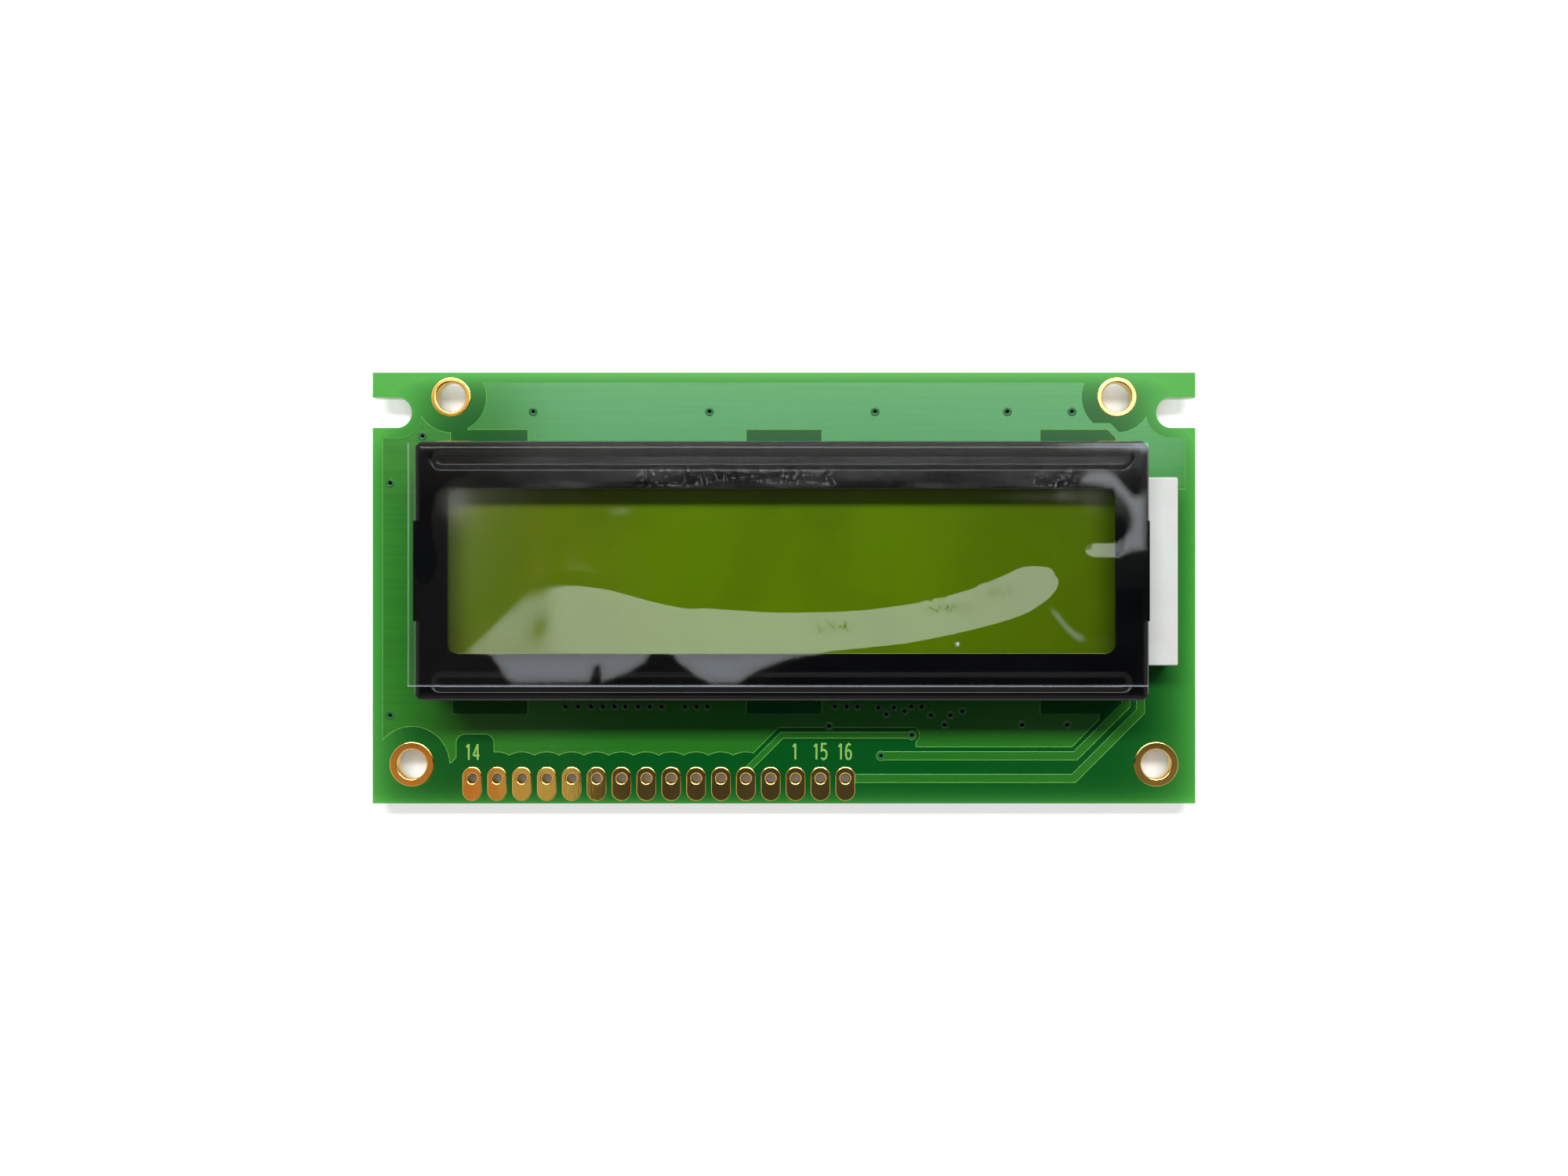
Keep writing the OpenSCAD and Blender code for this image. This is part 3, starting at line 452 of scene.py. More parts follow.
def plated_hole(centre, bore, outline):
    """Closed shell round a hole. The profile runs from the front ring's outline over its face,
    round a lip into the bore, and out over the back ring; the outline is an array of points, one
    for each direction round the bore, and a point of the profile is a fixed step from the bore's
    wall plus a share of the way out to the outline."""
    wall = centre + bore * RING_DIRECTION
    reach = outline - wall
    way = reach / np.linalg.norm(reach, axis=-1, keepdims=True)
    quarter = np.linspace(0, np.pi / 2, 4)
    top = FRONT + PLATING
    lip = [(LIP * (1 - np.sin(a)), 0.0, top - LIP * (1 - np.cos(a))) for a in quarter]
    edge = [(0, 1, FRONT), (0, 1, top - EDGE_DROP), (-EDGE_WIDTH, 1, top)]
    flat = [(-0.09, 1, top), (LIP + EDGE_WIDTH, 0, top)]
    front = edge + flat + lip
    back = [(step, share, FRONT + BACK - z) for step, share, z in front[::-1]]
    profile = np.array(front + back)
    step, share, z = (column[:, None, None] for column in profile.T)
    plan = wall[None] + way[None] * step + reach[None] * share
    height = np.broadcast_to(z, plan.shape[:2] + (1,))
    return np.concatenate([plan, height], axis=-1), quads(len(profile), len(TURN), True, True)


def circle_outline(centre, radius):
    """Points of a circle, one for each direction."""
    return centre + radius * RING_DIRECTION


def pad_outline(bore_centre, pad_centre, width, length):
    """Points of a pad with round ends where rays from the bore's centre leave it: on the straight
    sides the ray meets the side, and past them it meets the end's circle."""
    half = width / 2
    run = (length - width) / 2
    shift = pad_centre[1] - bore_centre[1]
    c, s = RING_DIRECTION[:, 0], RING_DIRECTION[:, 1]
    side = half / np.maximum(np.abs(c), 1e-9)
    end = shift + np.sign(s) * run
    along = s * end + np.sqrt(np.maximum((s * end) ** 2 - end**2 + half**2, 0))
    straight = np.abs(s * side - shift) <= run
    distance = np.where(straight, side, along)
    return bore_centre + RING_DIRECTION * distance[:, None]


gold = mottled("gold_bright", srgb(226, 186, 98), srgb(236, 200, 112), (700, 0.8), (5200, 0.16), (0.07, 0.05),
               1.2e-6, (1, 0.22, 1), Metallic=1.0)
HEADER_FIRST, HEADER_PITCH, HEADER_Y = -31.84, 2.54, -19.44
HEADER_BORE, PAD_Y, PAD_WIDTH, PAD_LENGTH = 0.5, -20.0, 1.97, 3.44
pad_shells = []
for number in range(16):
    x = HEADER_FIRST + HEADER_PITCH * number
    hole = np.array([x, HEADER_Y])
    outline = pad_outline(hole, np.array([x, PAD_Y]), PAD_WIDTH, PAD_LENGTH)
    pad_shells.append(plated_hole(hole, HEADER_BORE, outline))


def round_lands(bore, *lands):
    """Shells of plated holes of one bore, each given as its centre's x and y and its ring's radius."""
    shells = []
    for x, y, radius in lands:
        centre = np.array([x, y])
        shells.append(plated_hole(centre, bore, circle_outline(centre, radius)))
    return shells


FIXING_BORE = 1.5
PIN_X, PIN_LEVELS, PIN_BORE, PIN_LAND = 37.7, (-4.35, 7.65), 0.5, 1.1
rings = round_lands(FIXING_BORE, (-34, 19.5, 2.0), (34, 19.5, 2.0), (-38, -18, 2.25), (38, -18, 2.25))
pin_lands = round_lands(PIN_BORE, *((PIN_X, y, PIN_LAND) for y in PIN_LEVELS))
for name, node, shells in (("header_plating", "header_pads", pad_shells),
                           ("fixing_plating", "fixing_rings", rings),
                           ("pin_plating", "backlight_pads", pin_lands)):
    new_piece(name, shell_mesh(name, shells, gold), (node,))

# ---------------------------------------------------------------- vias
# Small plated holes that carry signals through the board, closed over by the mask. Each shows
# as a low round bump with its dimple painted dark, a painted shade that stands in for the hole
# below. The spots are x and y in millimetres.
VIA_SPOTS = np.array([
    (-25.6, 18.0), (-7.6, 18.0), (9.3, 18.0), (22.8, 18.0), (29.4, 18.0), (-36.9, 15.5), (-40.2, 10.7),
    (-40.2, -13.0), (4.6, -14.1), (13.05, -15.03), (9.9, -17.13), (16.4, -14.0), (24.3, -14.0), (28.9, -14.0),
    (-22.3, -12.1), (-21.0, -12.1), (-19.7, -12.1), (-18.5, -12.1), (-17.3, -12.1), (-16.2, -12.1),
    (-14.9, -12.1), (-13.7, -12.1), (-12.5, -12.1), (-10.1, -12.1), (-8.9, -12.1), (-7.8, -12.1),
    (5.2, -12.1), (6.4, -12.1), (7.5, -12.1), (9.65, -12.2), (10.45, -12.9), (11.25, -12.2), (12.3, -12.6),
    (13.0, -12.1), (14.05, -12.1), (15.0, -13.0), (17.0, -13.0), (18.2, -12.6),
])
VIA_PROFILE = np.array([(0.50, 0.0), (0.44, 0.06), (0.34, 0.075), (0.26, 0.075), (0.19, 0.05), (0.0, 0.048)])
VIA_BASE = 0.01


def turned(spot, radius, height, sides, ring_closed):
    """Grid of revolution: a profile of radii and heights turned about an upright line at the spot."""
    turn = np.linspace(0, 2 * np.pi, sides, endpoint=False)
    ring = np.stack([np.cos(turn), np.sin(turn)], axis=-1)
    plan = np.asarray(spot) + radius[:, None, None] * ring[None]
    rise = np.broadcast_to(height[:, None, None], plan.shape[:2] + (1,))
    return np.concatenate([plan, rise], axis=-1), quads(len(radius), sides, ring_closed, True)


def via_bump(spot):
    """Low dome with a dimple in its middle, turned from the via's profile."""
    radius, rise = VIA_PROFILE.T
    return turned(spot, radius, FRONT + VIA_BASE + rise, 20, False)


DIMPLE = 0.18
via_mask = mottled("via_mask", srgb(30, 104, 48), srgb(22, 86, 38), (900, 0.6), (2500, 0.15), (0.3, 0.1),
                   2e-6, Specular_IOR_Level=0.25)
# Painted shade: the dimple's near-black stands in for the dark of the hole under the mask.
painted_via_shade = mottled("painted_via_shade", srgb(4, 16, 8), srgb(2, 10, 4), (2000, 0.8), (4000, 0.2), (0.8, 0.1),
                   2e-6, Specular_IOR_Level=0.0)
via_mesh = shell_mesh("masked_vias", [via_bump(spot) for spot in VIA_SPOTS], via_mask, painted_via_shade)
centres = np.zeros(len(via_mesh.polygons) * 3)
via_mesh.polygons.foreach_get("center", centres)
offsets = centres.reshape(-1, 3)[None, :, :2] - VIA_SPOTS[:, None] * MM
in_dimple = np.linalg.norm(offsets, axis=-1).min(axis=0) < DIMPLE * MM
via_mesh.polygons.foreach_set("material_index", in_dimple.astype(np.int32))
new_piece("masked_vias", via_mesh)

# ---------------------------------------------------------------- pad numbers
# The numbers of the first and the last pads, etched in copper and covered by the mask. A digit's
# strokes are routes in a frame one high; where strokes cross, each lies at a height of its own.
STROKE = 0.19
NUMBER_HEIGHT = 1.6
NUMBER_PITCH = 0.78
NUMBER_MARGIN = 0.08
NUMBER_RISE, CROSSING_STEP = 0.04, 0.003
DIGITS = {
    "1": [[(0.08, 0.8), (0.32, 1.0)], [(0.32, 1.0), (0.32, 0.0)]],
    "4": [[(0.62, 0.28), (0.0, 0.28)], [(0.0, 0.28), (0.45, 1.0)], [(0.45, 1.0), (0.45, 0.0)]],
    "5": [[(0.56, 1.0), (0.1, 1.0), (0.06, 0.56), (0.3, 0.62), (0.52, 0.52), (0.58, 0.3), (0.48, 0.08),
           (0.26, 0.0), (0.02, 0.1)]],
    "6": [[(0.52, 0.9), (0.34, 1.0), (0.14, 0.88), (0.05, 0.6), (0.04, 0.3), (0.14, 0.06), (0.32, 0.0)],
          [(0.32, 0.0), (0.5, 0.08), (0.58, 0.3), (0.5, 0.52), (0.32, 0.6), (0.14, 0.52)]],
}


def stroke(route, width, low, high):
    """Raised ribbon along a route: each point steps sideways by half the width along the mean
    normal of its two runs, and further at a bend; it has a top, a bottom and closed ends."""
    run = np.diff(route, axis=0)
    run /= np.linalg.norm(run, axis=1, keepdims=True)
    normal = np.stack([-run[:, 1], run[:, 0]], axis=1)
    mean = np.concatenate([normal[:1], normal[:-1] + normal[1:], normal[-1:]])
    mean *= 2 / np.maximum((mean**2).sum(axis=1, keepdims=True), 0.9)
    mean[[0, -1]] = normal[[0, -1]]
    left, right = route + mean * width / 2, route - mean * width / 2
    corner = [(left, low), (right, low), (right, high), (left, high)]
    rows = [np.column_stack([side, np.full(len(side), z)]) for side, z in corner]
    points = np.stack(rows, axis=1)
    last = 4 * (len(route) - 1)
    caps = np.array([[3, 2, 1, 0], [last, last + 1, last + 2, last + 3]])
    return points, np.concatenate([quads(len(route), 4, False, True), caps])


number_parts = []
for x, y, digits in ((-31.8, -16.75, "14"), (1.15, -16.7, "1"), (3.7, -16.7, "15"), (6.2, -16.7, "16")):
    left = x - NUMBER_PITCH * len(digits) / 2 + NUMBER_MARGIN
    for place, digit in enumerate(digits):
        corner = (left + NUMBER_PITCH * place, y - NUMBER_HEIGHT / 2)
        for route in DIGITS[digit]:
            top = FRONT + NUMBER_RISE + CROSSING_STEP * (len(number_parts) % 4)
            number_parts.append(stroke(np.array(route) * (1.0, NUMBER_HEIGHT) + corner, STROKE, FRONT, top))
number_ink = mottled("number_ink", srgb(150, 200, 96), srgb(126, 180, 80), (900, 0.5), (2500, 0.1),
                     (0.25, 0.1), 3e-6)
new_piece("pad_numbers", shell_mesh("pad_numbers", number_parts, number_ink), smooth=False)

# ---------------------------------------------------------------- contacts and rubber strips
# Rows of gold contacts on the board, and the striped silicone strips that carry the signals
# from them up to the ledges of the front glass. Both are inside the bezel.
PALE_RUBBER = srgb(206, 204, 198)
rubber = mottled("strip_rubber", PALE_RUBBER, srgb(178, 178, 172), (500, 0.5), (3000, 0.1), (0.6, 0.1), 8e-6)
tree = rubber.node_tree
place = wire(tree, "TexCoord").outputs["Object"]
bands = {"bands_direction": "X"}
stripes = wire(tree, "TexWave", bands, Vector=place, Scale=1600.0, Distortion=0.4).outputs[1]
paint(rubber, mix_colour(tree, ramp(tree, stripes, 0.4, 0.6), PALE_RUBBER, srgb(28, 28, 30)))
for row in ("upper", "lower"):
    dress(row + "_contacts", gold)
    dress(row + "_strip", rubber)

# ---------------------------------------------------------------- edge-lit backlight
# A white moulded tray with a reflector, a clear light guide and a diffuser. Its end reaches out
# past the bezel over a small board of light-emitting chips, and stands on two solder pins.


def round_edges(piece, width, segments, angle):
    """Rounds a piece's edges that bend by more than an angle."""
    bevel = piece.modifiers.new("rounded_edges", "BEVEL")
    bevel.width = width * MM
    bevel.segments = segments
    bevel.limit_method = "ANGLE"
    bevel.angle_limit = angle
    bevel.harden_normals = True


def soften(node, width, segments=2):
    """Merges a CAD node's corners and rounds its edges, as a moulding or a cut block has them."""
    weld = nodes[node].modifiers.new("merged_corners", "WELD")
    weld.merge_threshold = 2e-6
    round_edges(nodes[node], width, segments, SHARP)


white_plastic = mottled("white_plastic", srgb(219, 221, 218), srgb(212, 214, 212), (260, 0.6), (1800, 0.04),
                        (0.42, 0.1), 6e-6, IOR=1.49, Subsurface_Weight=0.15, Subsurface_Scale=0.002)
board_white = mottled("led_board_white", srgb(232, 232, 222), srgb(224, 222, 208), (400, 0.5), (2000, 0.06),
                      (0.35, 0.1), 4e-6)
led_resin = mottled("led_resin", srgb(236, 240, 150), srgb(214, 226, 96), (900, 0.8), (3000, 0.1),
                    (0.25, 0.1), 4e-6)
reflector = mottled("reflector_film", srgb(242, 242, 240), srgb(234, 236, 236), (300, 0.5), (2600, 0.05),
                    (0.3, 0.1), 3e-6)
acrylic = mottled("clear_acrylic", srgb(236, 244, 232), srgb(226, 238, 220), (300, 0.4), (2600, 0.03),
                  (0.08, 0.04), 1e-6, IOR=1.49, Alpha=0.5)
diffuser = mottled("diffuser_film", srgb(226, 236, 198), srgb(218, 230, 186), (300, 0.5), (2600, 0.05),
                   (0.6, 0.1), 4e-6)
tinned = mottled("tinned_metal", srgb(206, 207, 208), srgb(176, 178, 182), (900, 0.7), (4200, 0.16),
                 (0.26, 0.14), 6e-6, (1, 1, 0.3), Metallic=1.0)
for node, material in (("backlight_housing", white_plastic), ("led_board", board_white),
                       ("led_chips", led_resin), ("reflector_sheet", reflector), ("light_guide", acrylic),
                       ("diffuser_sheet", diffuser), ("backlight_pins", tinned)):
    dress(node, material)
soften("backlight_housing", 0.15)
soften("led_board", 0.05, 1)
soften("led_chips", 0.08)
soften("backlight_pins", 0.08)

# ---------------------------------------------------------------- glass cell
# Two glasses with the liquid crystal sealed between them and the front polariser laminated on
# top are one clear stepped block, because they are bonded without an air gap. The rear
# polariser under it gives the yellow-green ground: greener in the middle, browner to the left
# and darker to the right, with a faint cloudiness. The darkening along both ends, by the
# bezel's edges, is painted shade.
ground = mottled("display_ground", srgb(98, 132, 5), srgb(90, 122, 4), (90, 0.7), (1500, 0.05), (0.5, 0.1),
                 2e-6, Specular_IOR_Level=0.0)
tree = ground.node_tree
along = place_axes(tree)[0]
left_share = ramp(tree, along, -0.033, -0.008, 1.0, 0.0)
right_share = ramp(tree, along, 0.008, 0.033, 0.0, 1.0)
# Painted shade: the ground is painted darker within a few millimetres of the window's two ends.
to_end = calc(tree, "SUBTRACT", 0.0325, calc(tree, "ABSOLUTE", along))
painted_end_shade = ramp(tree, calc(tree, "MINIMUM", to_end, 0.004), 0.0, 0.003, 0.45, 0.0)
colour = mix_colour(tree, left_share, srgb(104, 141, 5), srgb(110, 122, 8))
colour = mix_colour(tree, right_share, colour, srgb(84, 112, 4))
paint(ground, mix_colour(tree, painted_end_shade, colour, srgb(48, 58, 8)))
seal = mottled("seal_resin", srgb(214, 210, 190), srgb(200, 194, 168), (500, 0.5), (2400, 0.1),
               (0.4, 0.1), 4e-6)
plug = mottled("fill_resin", srgb(216, 200, 140), srgb(198, 178, 110), (900, 0.6), (2400, 0.1),
               (0.2, 0.1), 4e-6)
for node, material in (("rear_polariser", ground), ("cell_seal", seal), ("fill_plug", plug)):
    dress(node, material)

DISPLAY_Y = 1.65
GLASS_CORNER = 0.25


def stepped_slab(steps):
    """Closed slab about the display's centre. Each step gives a width, a height and a level, and
    its outline with rounded corners is joined to the next; the two ends are closed."""
    turn = np.linspace(0, np.pi / 2, 6)
    arc = np.stack([np.cos(turn), np.sin(turn)], axis=-1)
    quarter = [(1, 1, arc), (-1, 1, arc[::-1]), (-1, -1, arc), (1, -1, arc[::-1])]
    rows = []
    for width, height, level in steps:
        middle = np.array([width / 2, height / 2]) - GLASS_CORNER
        outline = np.concatenate([(middle + GLASS_CORNER * part) * (sx, sy) for sx, sy, part in quarter])
        rows.append(np.column_stack([outline, np.full(len(outline), level)]))
    points = np.stack(rows) + (0, DISPLAY_Y, 0)
    count = points.shape[1]
    sides = quads(len(steps), count, False, True)
    opposite = np.arange(count // 2 - 1)
    caps = np.stack([opposite, opposite + 1, count - 2 - opposite, count - 1 - opposite], axis=-1)
    return points, np.concatenate([sides, caps[:, ::-1], caps + (len(steps) - 1) * count])


GROUND_EDGE = 0.12
FIT = 0.01
rear_low, rear_high = millimetres("rear_glass")
front_low, front_high = millimetres("front_glass")
sheet_low, sheet_high = millimetres("front_polariser")
rear, front, sheet = ((high - low)[:2] for low, high in (
    (rear_low, rear_high), (front_low, front_high), (sheet_low, sheet_high)))
cell_steps = [
    (*(rear - 2 * GROUND_EDGE), rear_low[2] + FIT), (*rear, rear_low[2] + GROUND_EDGE),
    (*rear, front_low[2]), (*front, front_low[2] + 2 * FIT),
    (*front, front_high[2] - GROUND_EDGE), (*(front - 2 * GROUND_EDGE), front_high[2]),
    (*sheet, sheet_low[2] + FIT), (*sheet, sheet_high[2]),
]
cell_glass = mottled("cell_glass", srgb(66, 84, 14), srgb(74, 88, 20), (120, 0.6), (2400, 0.02),
                     (0.1, 0.04), 1e-6, IOR=1.5, Alpha=0.08)
cell = shell_mesh("glass_cell", [stepped_slab(cell_steps)], cell_glass)
laminated = ("rear_glass", "front_glass", "liquid_crystal", "front_polariser")
new_piece("glass_cell", cell, laminated, smooth=False)

# ---------------------------------------------------------------- bezel
# One pressed sheet of steel under glossy black paint: a flat face round the window, a groove
# pressed along each long side, four bent skirts with cut corners, and six tabs through the
# board. Plan sizes are halves, counted from the display's centre.
SHEET = 0.5
BEND = 0.8
FACE_Z = 11.75
HALF_W, HALF_H = 35.6, 12.6
FLAT_W, FLAT_H = HALF_W - BEND, HALF_H - BEND
WINDOW_W, WINDOW_H, WINDOW_R = 32.25, 8.0, 0.95
GROOVE_Y, GROOVE_END, GROOVE_DEPTH = 10.75, 33.9, 0.35
GROOVE_HALF, GROOVE_FLOOR = 1.025, 0.425
SKIRT_LOW = FRONT + PLATING
OPENING = 4.85
EXIT_Y, EXIT_TOP = 9.6, 7.9
DENT = 0.006
STEEL_ROUND = 0.04


def dents(x, y):
    """Shallow waves of a pressed sheet: two long sines and a shorter, lower one, added up."""
    long_waves = np.sin(0.55 * x + 0.4 * y) + np.sin(0.31 * x - 1.1 * y + 2)
    return DENT * (long_waves + 0.6 * np.sin(1.3 * x + 0.9 * y + 4))


def groove_drop(x, y):
    """Depth below the face of the two pressed grooves. The distance to a groove's middle line, with
    its round ends, gives the share of the way down the wall; the wall is straight in its middle
    part and rounded by a parabola over its first and last fifth."""
    along = np.maximum(np.abs(x) - (GROOVE_END - GROOVE_HALF), 0)
    distance = np.hypot(along, np.abs(y) - GROOVE_Y)
    share = np.clip((GROOVE_HALF - distance) / (GROOVE_HALF - GROOVE_FLOOR), 0, 1)
    first = share**2 / 0.4
    last = 0.8 - (1 - share) ** 2 / 0.4
    rounded = np.where(share < 0.2, first, np.where(share > 0.8, last, share - 0.1))
    return GROOVE_DEPTH * rounded / 0.8


def bezel_face():
    """Ring grid from the window's rounded outline to the line where the bends begin. Both outlines
    have the same count of points on each side and each corner, and the rows go evenly between."""
    per_x, per_y, per_corner = 150, 48, 44
    corners = [(1, 1), (-1, 1), (-1, -1), (1, -1)]
    inner, outer = [], []
    centre = np.array([WINDOW_W - WINDOW_R, WINDOW_H - WINDOW_R])
    leg_x, leg_y = FLAT_W - centre[0], FLAT_H - centre[1]
    share = np.linspace(0, 1, per_corner, endpoint=False)
    cosine, sine = np.cos(np.pi / 2 * share), np.sin(np.pi / 2 * share)
    for number, (sx, sy) in enumerate(corners):
        upward = number % 2 == 0
        arc = np.stack([cosine, sine] if upward else [sine, cosine], axis=-1)
        inner.append((centre + WINDOW_R * arc) * (sx, sy))
        run = share * (leg_x + leg_y)
        first = leg_y if upward else leg_x
        go = np.minimum(run, first)
        back = np.maximum(run - first, 0)
        path = (FLAT_W - back, centre[1] + go) if upward else (centre[0] + go, FLAT_H - back)
        outer.append(np.stack(path, axis=-1) * (sx, sy))
        part = np.linspace(0, 1, per_x if upward else per_y, endpoint=False)[:, None]
        side = np.array([0, sy]) if upward else np.array([sx, 0])
        start = (centre + WINDOW_R * np.abs(side)) * (sx, sy)
        stop = (centre + WINDOW_R * np.abs(side)) * corners[(number + 1) % 4]
        line = start + (stop - start) * part
        inner.append(line)
        outer.append(line + (np.array([FLAT_W, FLAT_H]) - centre - WINDOW_R) * side)
    return np.concatenate(inner), np.concatenate(outer)


inner, outer = bezel_face()
ROWS = 42
share = np.linspace(0, 1, ROWS)[:, None]
plan = inner[None] * (1 - share[..., None]) + outer[None] * share[..., None]
off_edges = np.clip(np.minimum(share, share[::-1]) * 6, 0, 1)
rise = FACE_Z - groove_drop(plan[..., 0], plan[..., 1])
rise = rise + dents(plan[..., 0], plan[..., 1]) * off_edges * 0.5
face_points = np.concatenate([plan + (0, DISPLAY_Y), rise[..., None]], axis=-1)
bezel_parts = [(face_points, quads(ROWS, len(inner), False, True))]


def flap(along, levels, axis, sign):
    """Bend and skirt of one side, for stations along axis 0 or 1. Each station goes down a quarter
    turn of the bend's radius and then straight through the levels; the ends reach into the
    corner as far as the mitre and the cut. The end skirts keep an opening in their middle, and
    the right one is cut away where the backlight comes out."""
    turn = np.linspace(0, np.pi / 2, 9)
    out = np.concatenate([BEND * np.sin(turn), np.full(len(levels), BEND)])
    level = np.concatenate([FACE_Z - BEND * (1 - np.cos(turn)), levels])
    spread = np.minimum(out, BEND - out)
    limit, side = (FLAT_W, FLAT_H) if axis == 0 else (FLAT_H, FLAT_W)
    past = np.where(np.abs(along) > limit - 1e-6, np.sign(along), 0.0)
    station = along[None, :] + past[None, :] * spread[:, None]
    other = np.broadcast_to(sign * (side + out)[:, None], station.shape)
    height = np.broadcast_to(level[:, None], station.shape)
    plan = (station, other) if axis == 0 else (other, station)
    points = np.stack([plan[0], plan[1] + DISPLAY_Y, height], axis=-1)
    faces = quads(len(out), len(along))
    if axis == 0:
        return points, faces
    centre = points.reshape(-1, 3)[faces].mean(axis=1)
    reach = np.abs(centre[:, 1] - DISPLAY_Y)
    keep = reach >= OPENING
    if sign > 0:
        keep &= (reach >= EXIT_Y) | (centre[:, 2] >= EXIT_TOP)
    return points, faces[keep]


def edge_stations(axis, side, end):
    """Places along one edge of the flat face where the face has its points, with both ends."""
    on_edge = np.abs(outer[:, 1 - axis] - side) < 1e-9
    return np.unique(np.concatenate([np.unique(np.round(outer[on_edge][:, axis], 6)), [-end, end]]))


top_line = edge_stations(0, FLAT_H, FLAT_W)
side_line = edge_stations(1, FLAT_W, FLAT_H)
for cut in (OPENING, -OPENING, EXIT_Y, -EXIT_Y):
    side_line[np.abs(side_line - cut).argmin()] = cut
SHEARED = 0.05
skirt_levels = np.linspace(FACE_Z - BEND, SKIRT_LOW, 9)[1:]
end_levels = np.unique(np.concatenate([skirt_levels, [EXIT_TOP]]))[::-1]
for sign in (1, -1):
    bezel_parts.append(flap(top_line, skirt_levels, 0, sign))
    bezel_parts.append(flap(side_line, end_levels, 1, sign))
    lip_y = side_line[np.abs(side_line) <= OPENING + 1e-9]
    lip_x = sign * np.linspace(FLAT_W, HALF_W - SHEARED, 4)
    grid_x, grid_y = np.meshgrid(lip_x, lip_y, indexing="ij")
    lip = np.stack([grid_x, grid_y + DISPLAY_Y, np.full(grid_x.shape, FACE_Z)], axis=-1)
    bezel_parts.append((lip, quads(len(lip_x), len(lip_y))))

TAB_HEIGHTS = np.array([3.6, 3.25, 2.4, 1.75, 1.5, 1.2, 0.8, 0.35, 0.0])
TAB_HALVES = np.array([0.7, 0.7, 0.7, 0.7, 0.95, 1.2, 1.2, 1.15, 0.85])
TAB_TURNS = np.radians([0, 0, 0, 4, 16, 28, 34, 35, 35])
across = np.linspace(-1, 1, 7)[None, :] * TAB_HALVES[:, None]
tab_x = across * np.cos(TAB_TURNS)[:, None]
tab_y = across * np.sin(TAB_TURNS)[:, None]
tab_z = np.broadcast_to(TAB_HEIGHTS[:, None], tab_x.shape)
faces = quads(*tab_x.shape)
for x in (-30.0, 0.0, 30.0):
    for sign in (1, -1):
        middle = DISPLAY_Y + sign * HALF_H
        tab = np.stack([x + tab_x, middle + tab_y, tab_z], axis=-1)
        bezel_parts.append((tab, faces if sign > 0 else faces[:, ::-1]))

black_steel = mottled("black_steel", srgb(7, 8, 10), srgb(12, 13, 15), (180, 0.6), (3600, 0.2), (0.08, 0.04),
                      1e-6, IOR=1.45, Specular_IOR_Level=0.17)
bezel_mesh = shell_mesh("steel_bezel", bezel_parts, black_steel, merge=2e-5)
bezel_piece = new_piece("steel_bezel", bezel_mesh, ("bezel",))
wall = bezel_piece.modifiers.new("sheet", "SOLIDIFY")
wall.thickness = SHEET * MM
wall.offset = -1
wall.use_even_offset = True
round_edges(bezel_piece, STEEL_ROUND, 2, np.radians(40))

# ---------------------------------------------------------------- protective film
# A thin clear film laid over the bezel. It clings in places, lifts in others and sags into the
# window, so that it mirrors the bright cards in pale waves. Outlines, curves and spots below are
# x and y on the board, in millimetres.
FILM_X = (-36.05, 35.4)
FILM_Y = (-9.5, 14.0)
FILM = 0.06
FILM_GAP = 0.01
WINDOW_LOW, WINDOW_TOP = DISPLAY_Y - WINDOW_H, DISPLAY_Y + WINDOW_H


def step(value, low, high):
    """Smooth step from 0 to 1 while the value goes from low to high."""
    share = np.clip((value - low) / (high - low), 0, 1)
    return share * share * (3 - 2 * share)


def curve_through(knots, x):
    """Height of a smooth curve through the knots: cubic pieces whose slope at a knot is the
    harmonic mean of the slopes beside it, so that it never swings past a knot."""
    knots = np.array(knots)
    rise = np.diff(knots[:, 1]) / np.diff(knots[:, 0])
    product = rise[:-1] * rise[1:]
    total = np.where(np.abs(rise[:-1] + rise[1:]) < 1e-9, 1.0, rise[:-1] + rise[1:])
    slope = np.concatenate([rise[:1], np.where(product > 0, 2 * product / total, 0), rise[-1:]])
    piece = np.clip(np.searchsorted(knots[:, 0], x) - 1, 0, len(knots) - 2)
    run = knots[piece + 1, 0] - knots[piece, 0]
    t = np.clip((x - knots[piece, 0]) / run, 0, 1)
    start = (2 * t**3 - 3 * t**2 + 1) * knots[piece, 1] + (t**3 - 2 * t**2 + t) * run * slope[piece]
    return start + (3 * t**2 - 2 * t**3) * knots[piece + 1, 1] + (t**3 - t**2) * run * slope[piece + 1]


def patch(x, y, outline, blur):
    """Mask of 1 inside an outline, going smoothly to 0 across it over the blur: the distance to
    the nearest side of the outline, with its sign from how often a ray crosses the sides."""
    corners = np.array(outline)
    ahead = np.roll(corners, -1, axis=0)
    side = ahead - corners
    px, py = x[..., None] - corners[:, 0], y[..., None] - corners[:, 1]
    share = np.clip((px * side[:, 0] + py * side[:, 1]) / (side**2).sum(axis=1), 0, 1)
    distance = np.hypot(px - share * side[:, 0], py - share * side[:, 1]).min(axis=-1)
    spans = (corners[:, 1] > y[..., None]) != (ahead[:, 1] > y[..., None])
    lean = np.where(side[:, 1] == 0, 1e-9, side[:, 1])
    crossings = (spans & (px < py * side[:, 0] / lean)).sum(axis=-1)
    return step(np.where(crossings % 2 == 1, distance, -distance), -blur, blur)


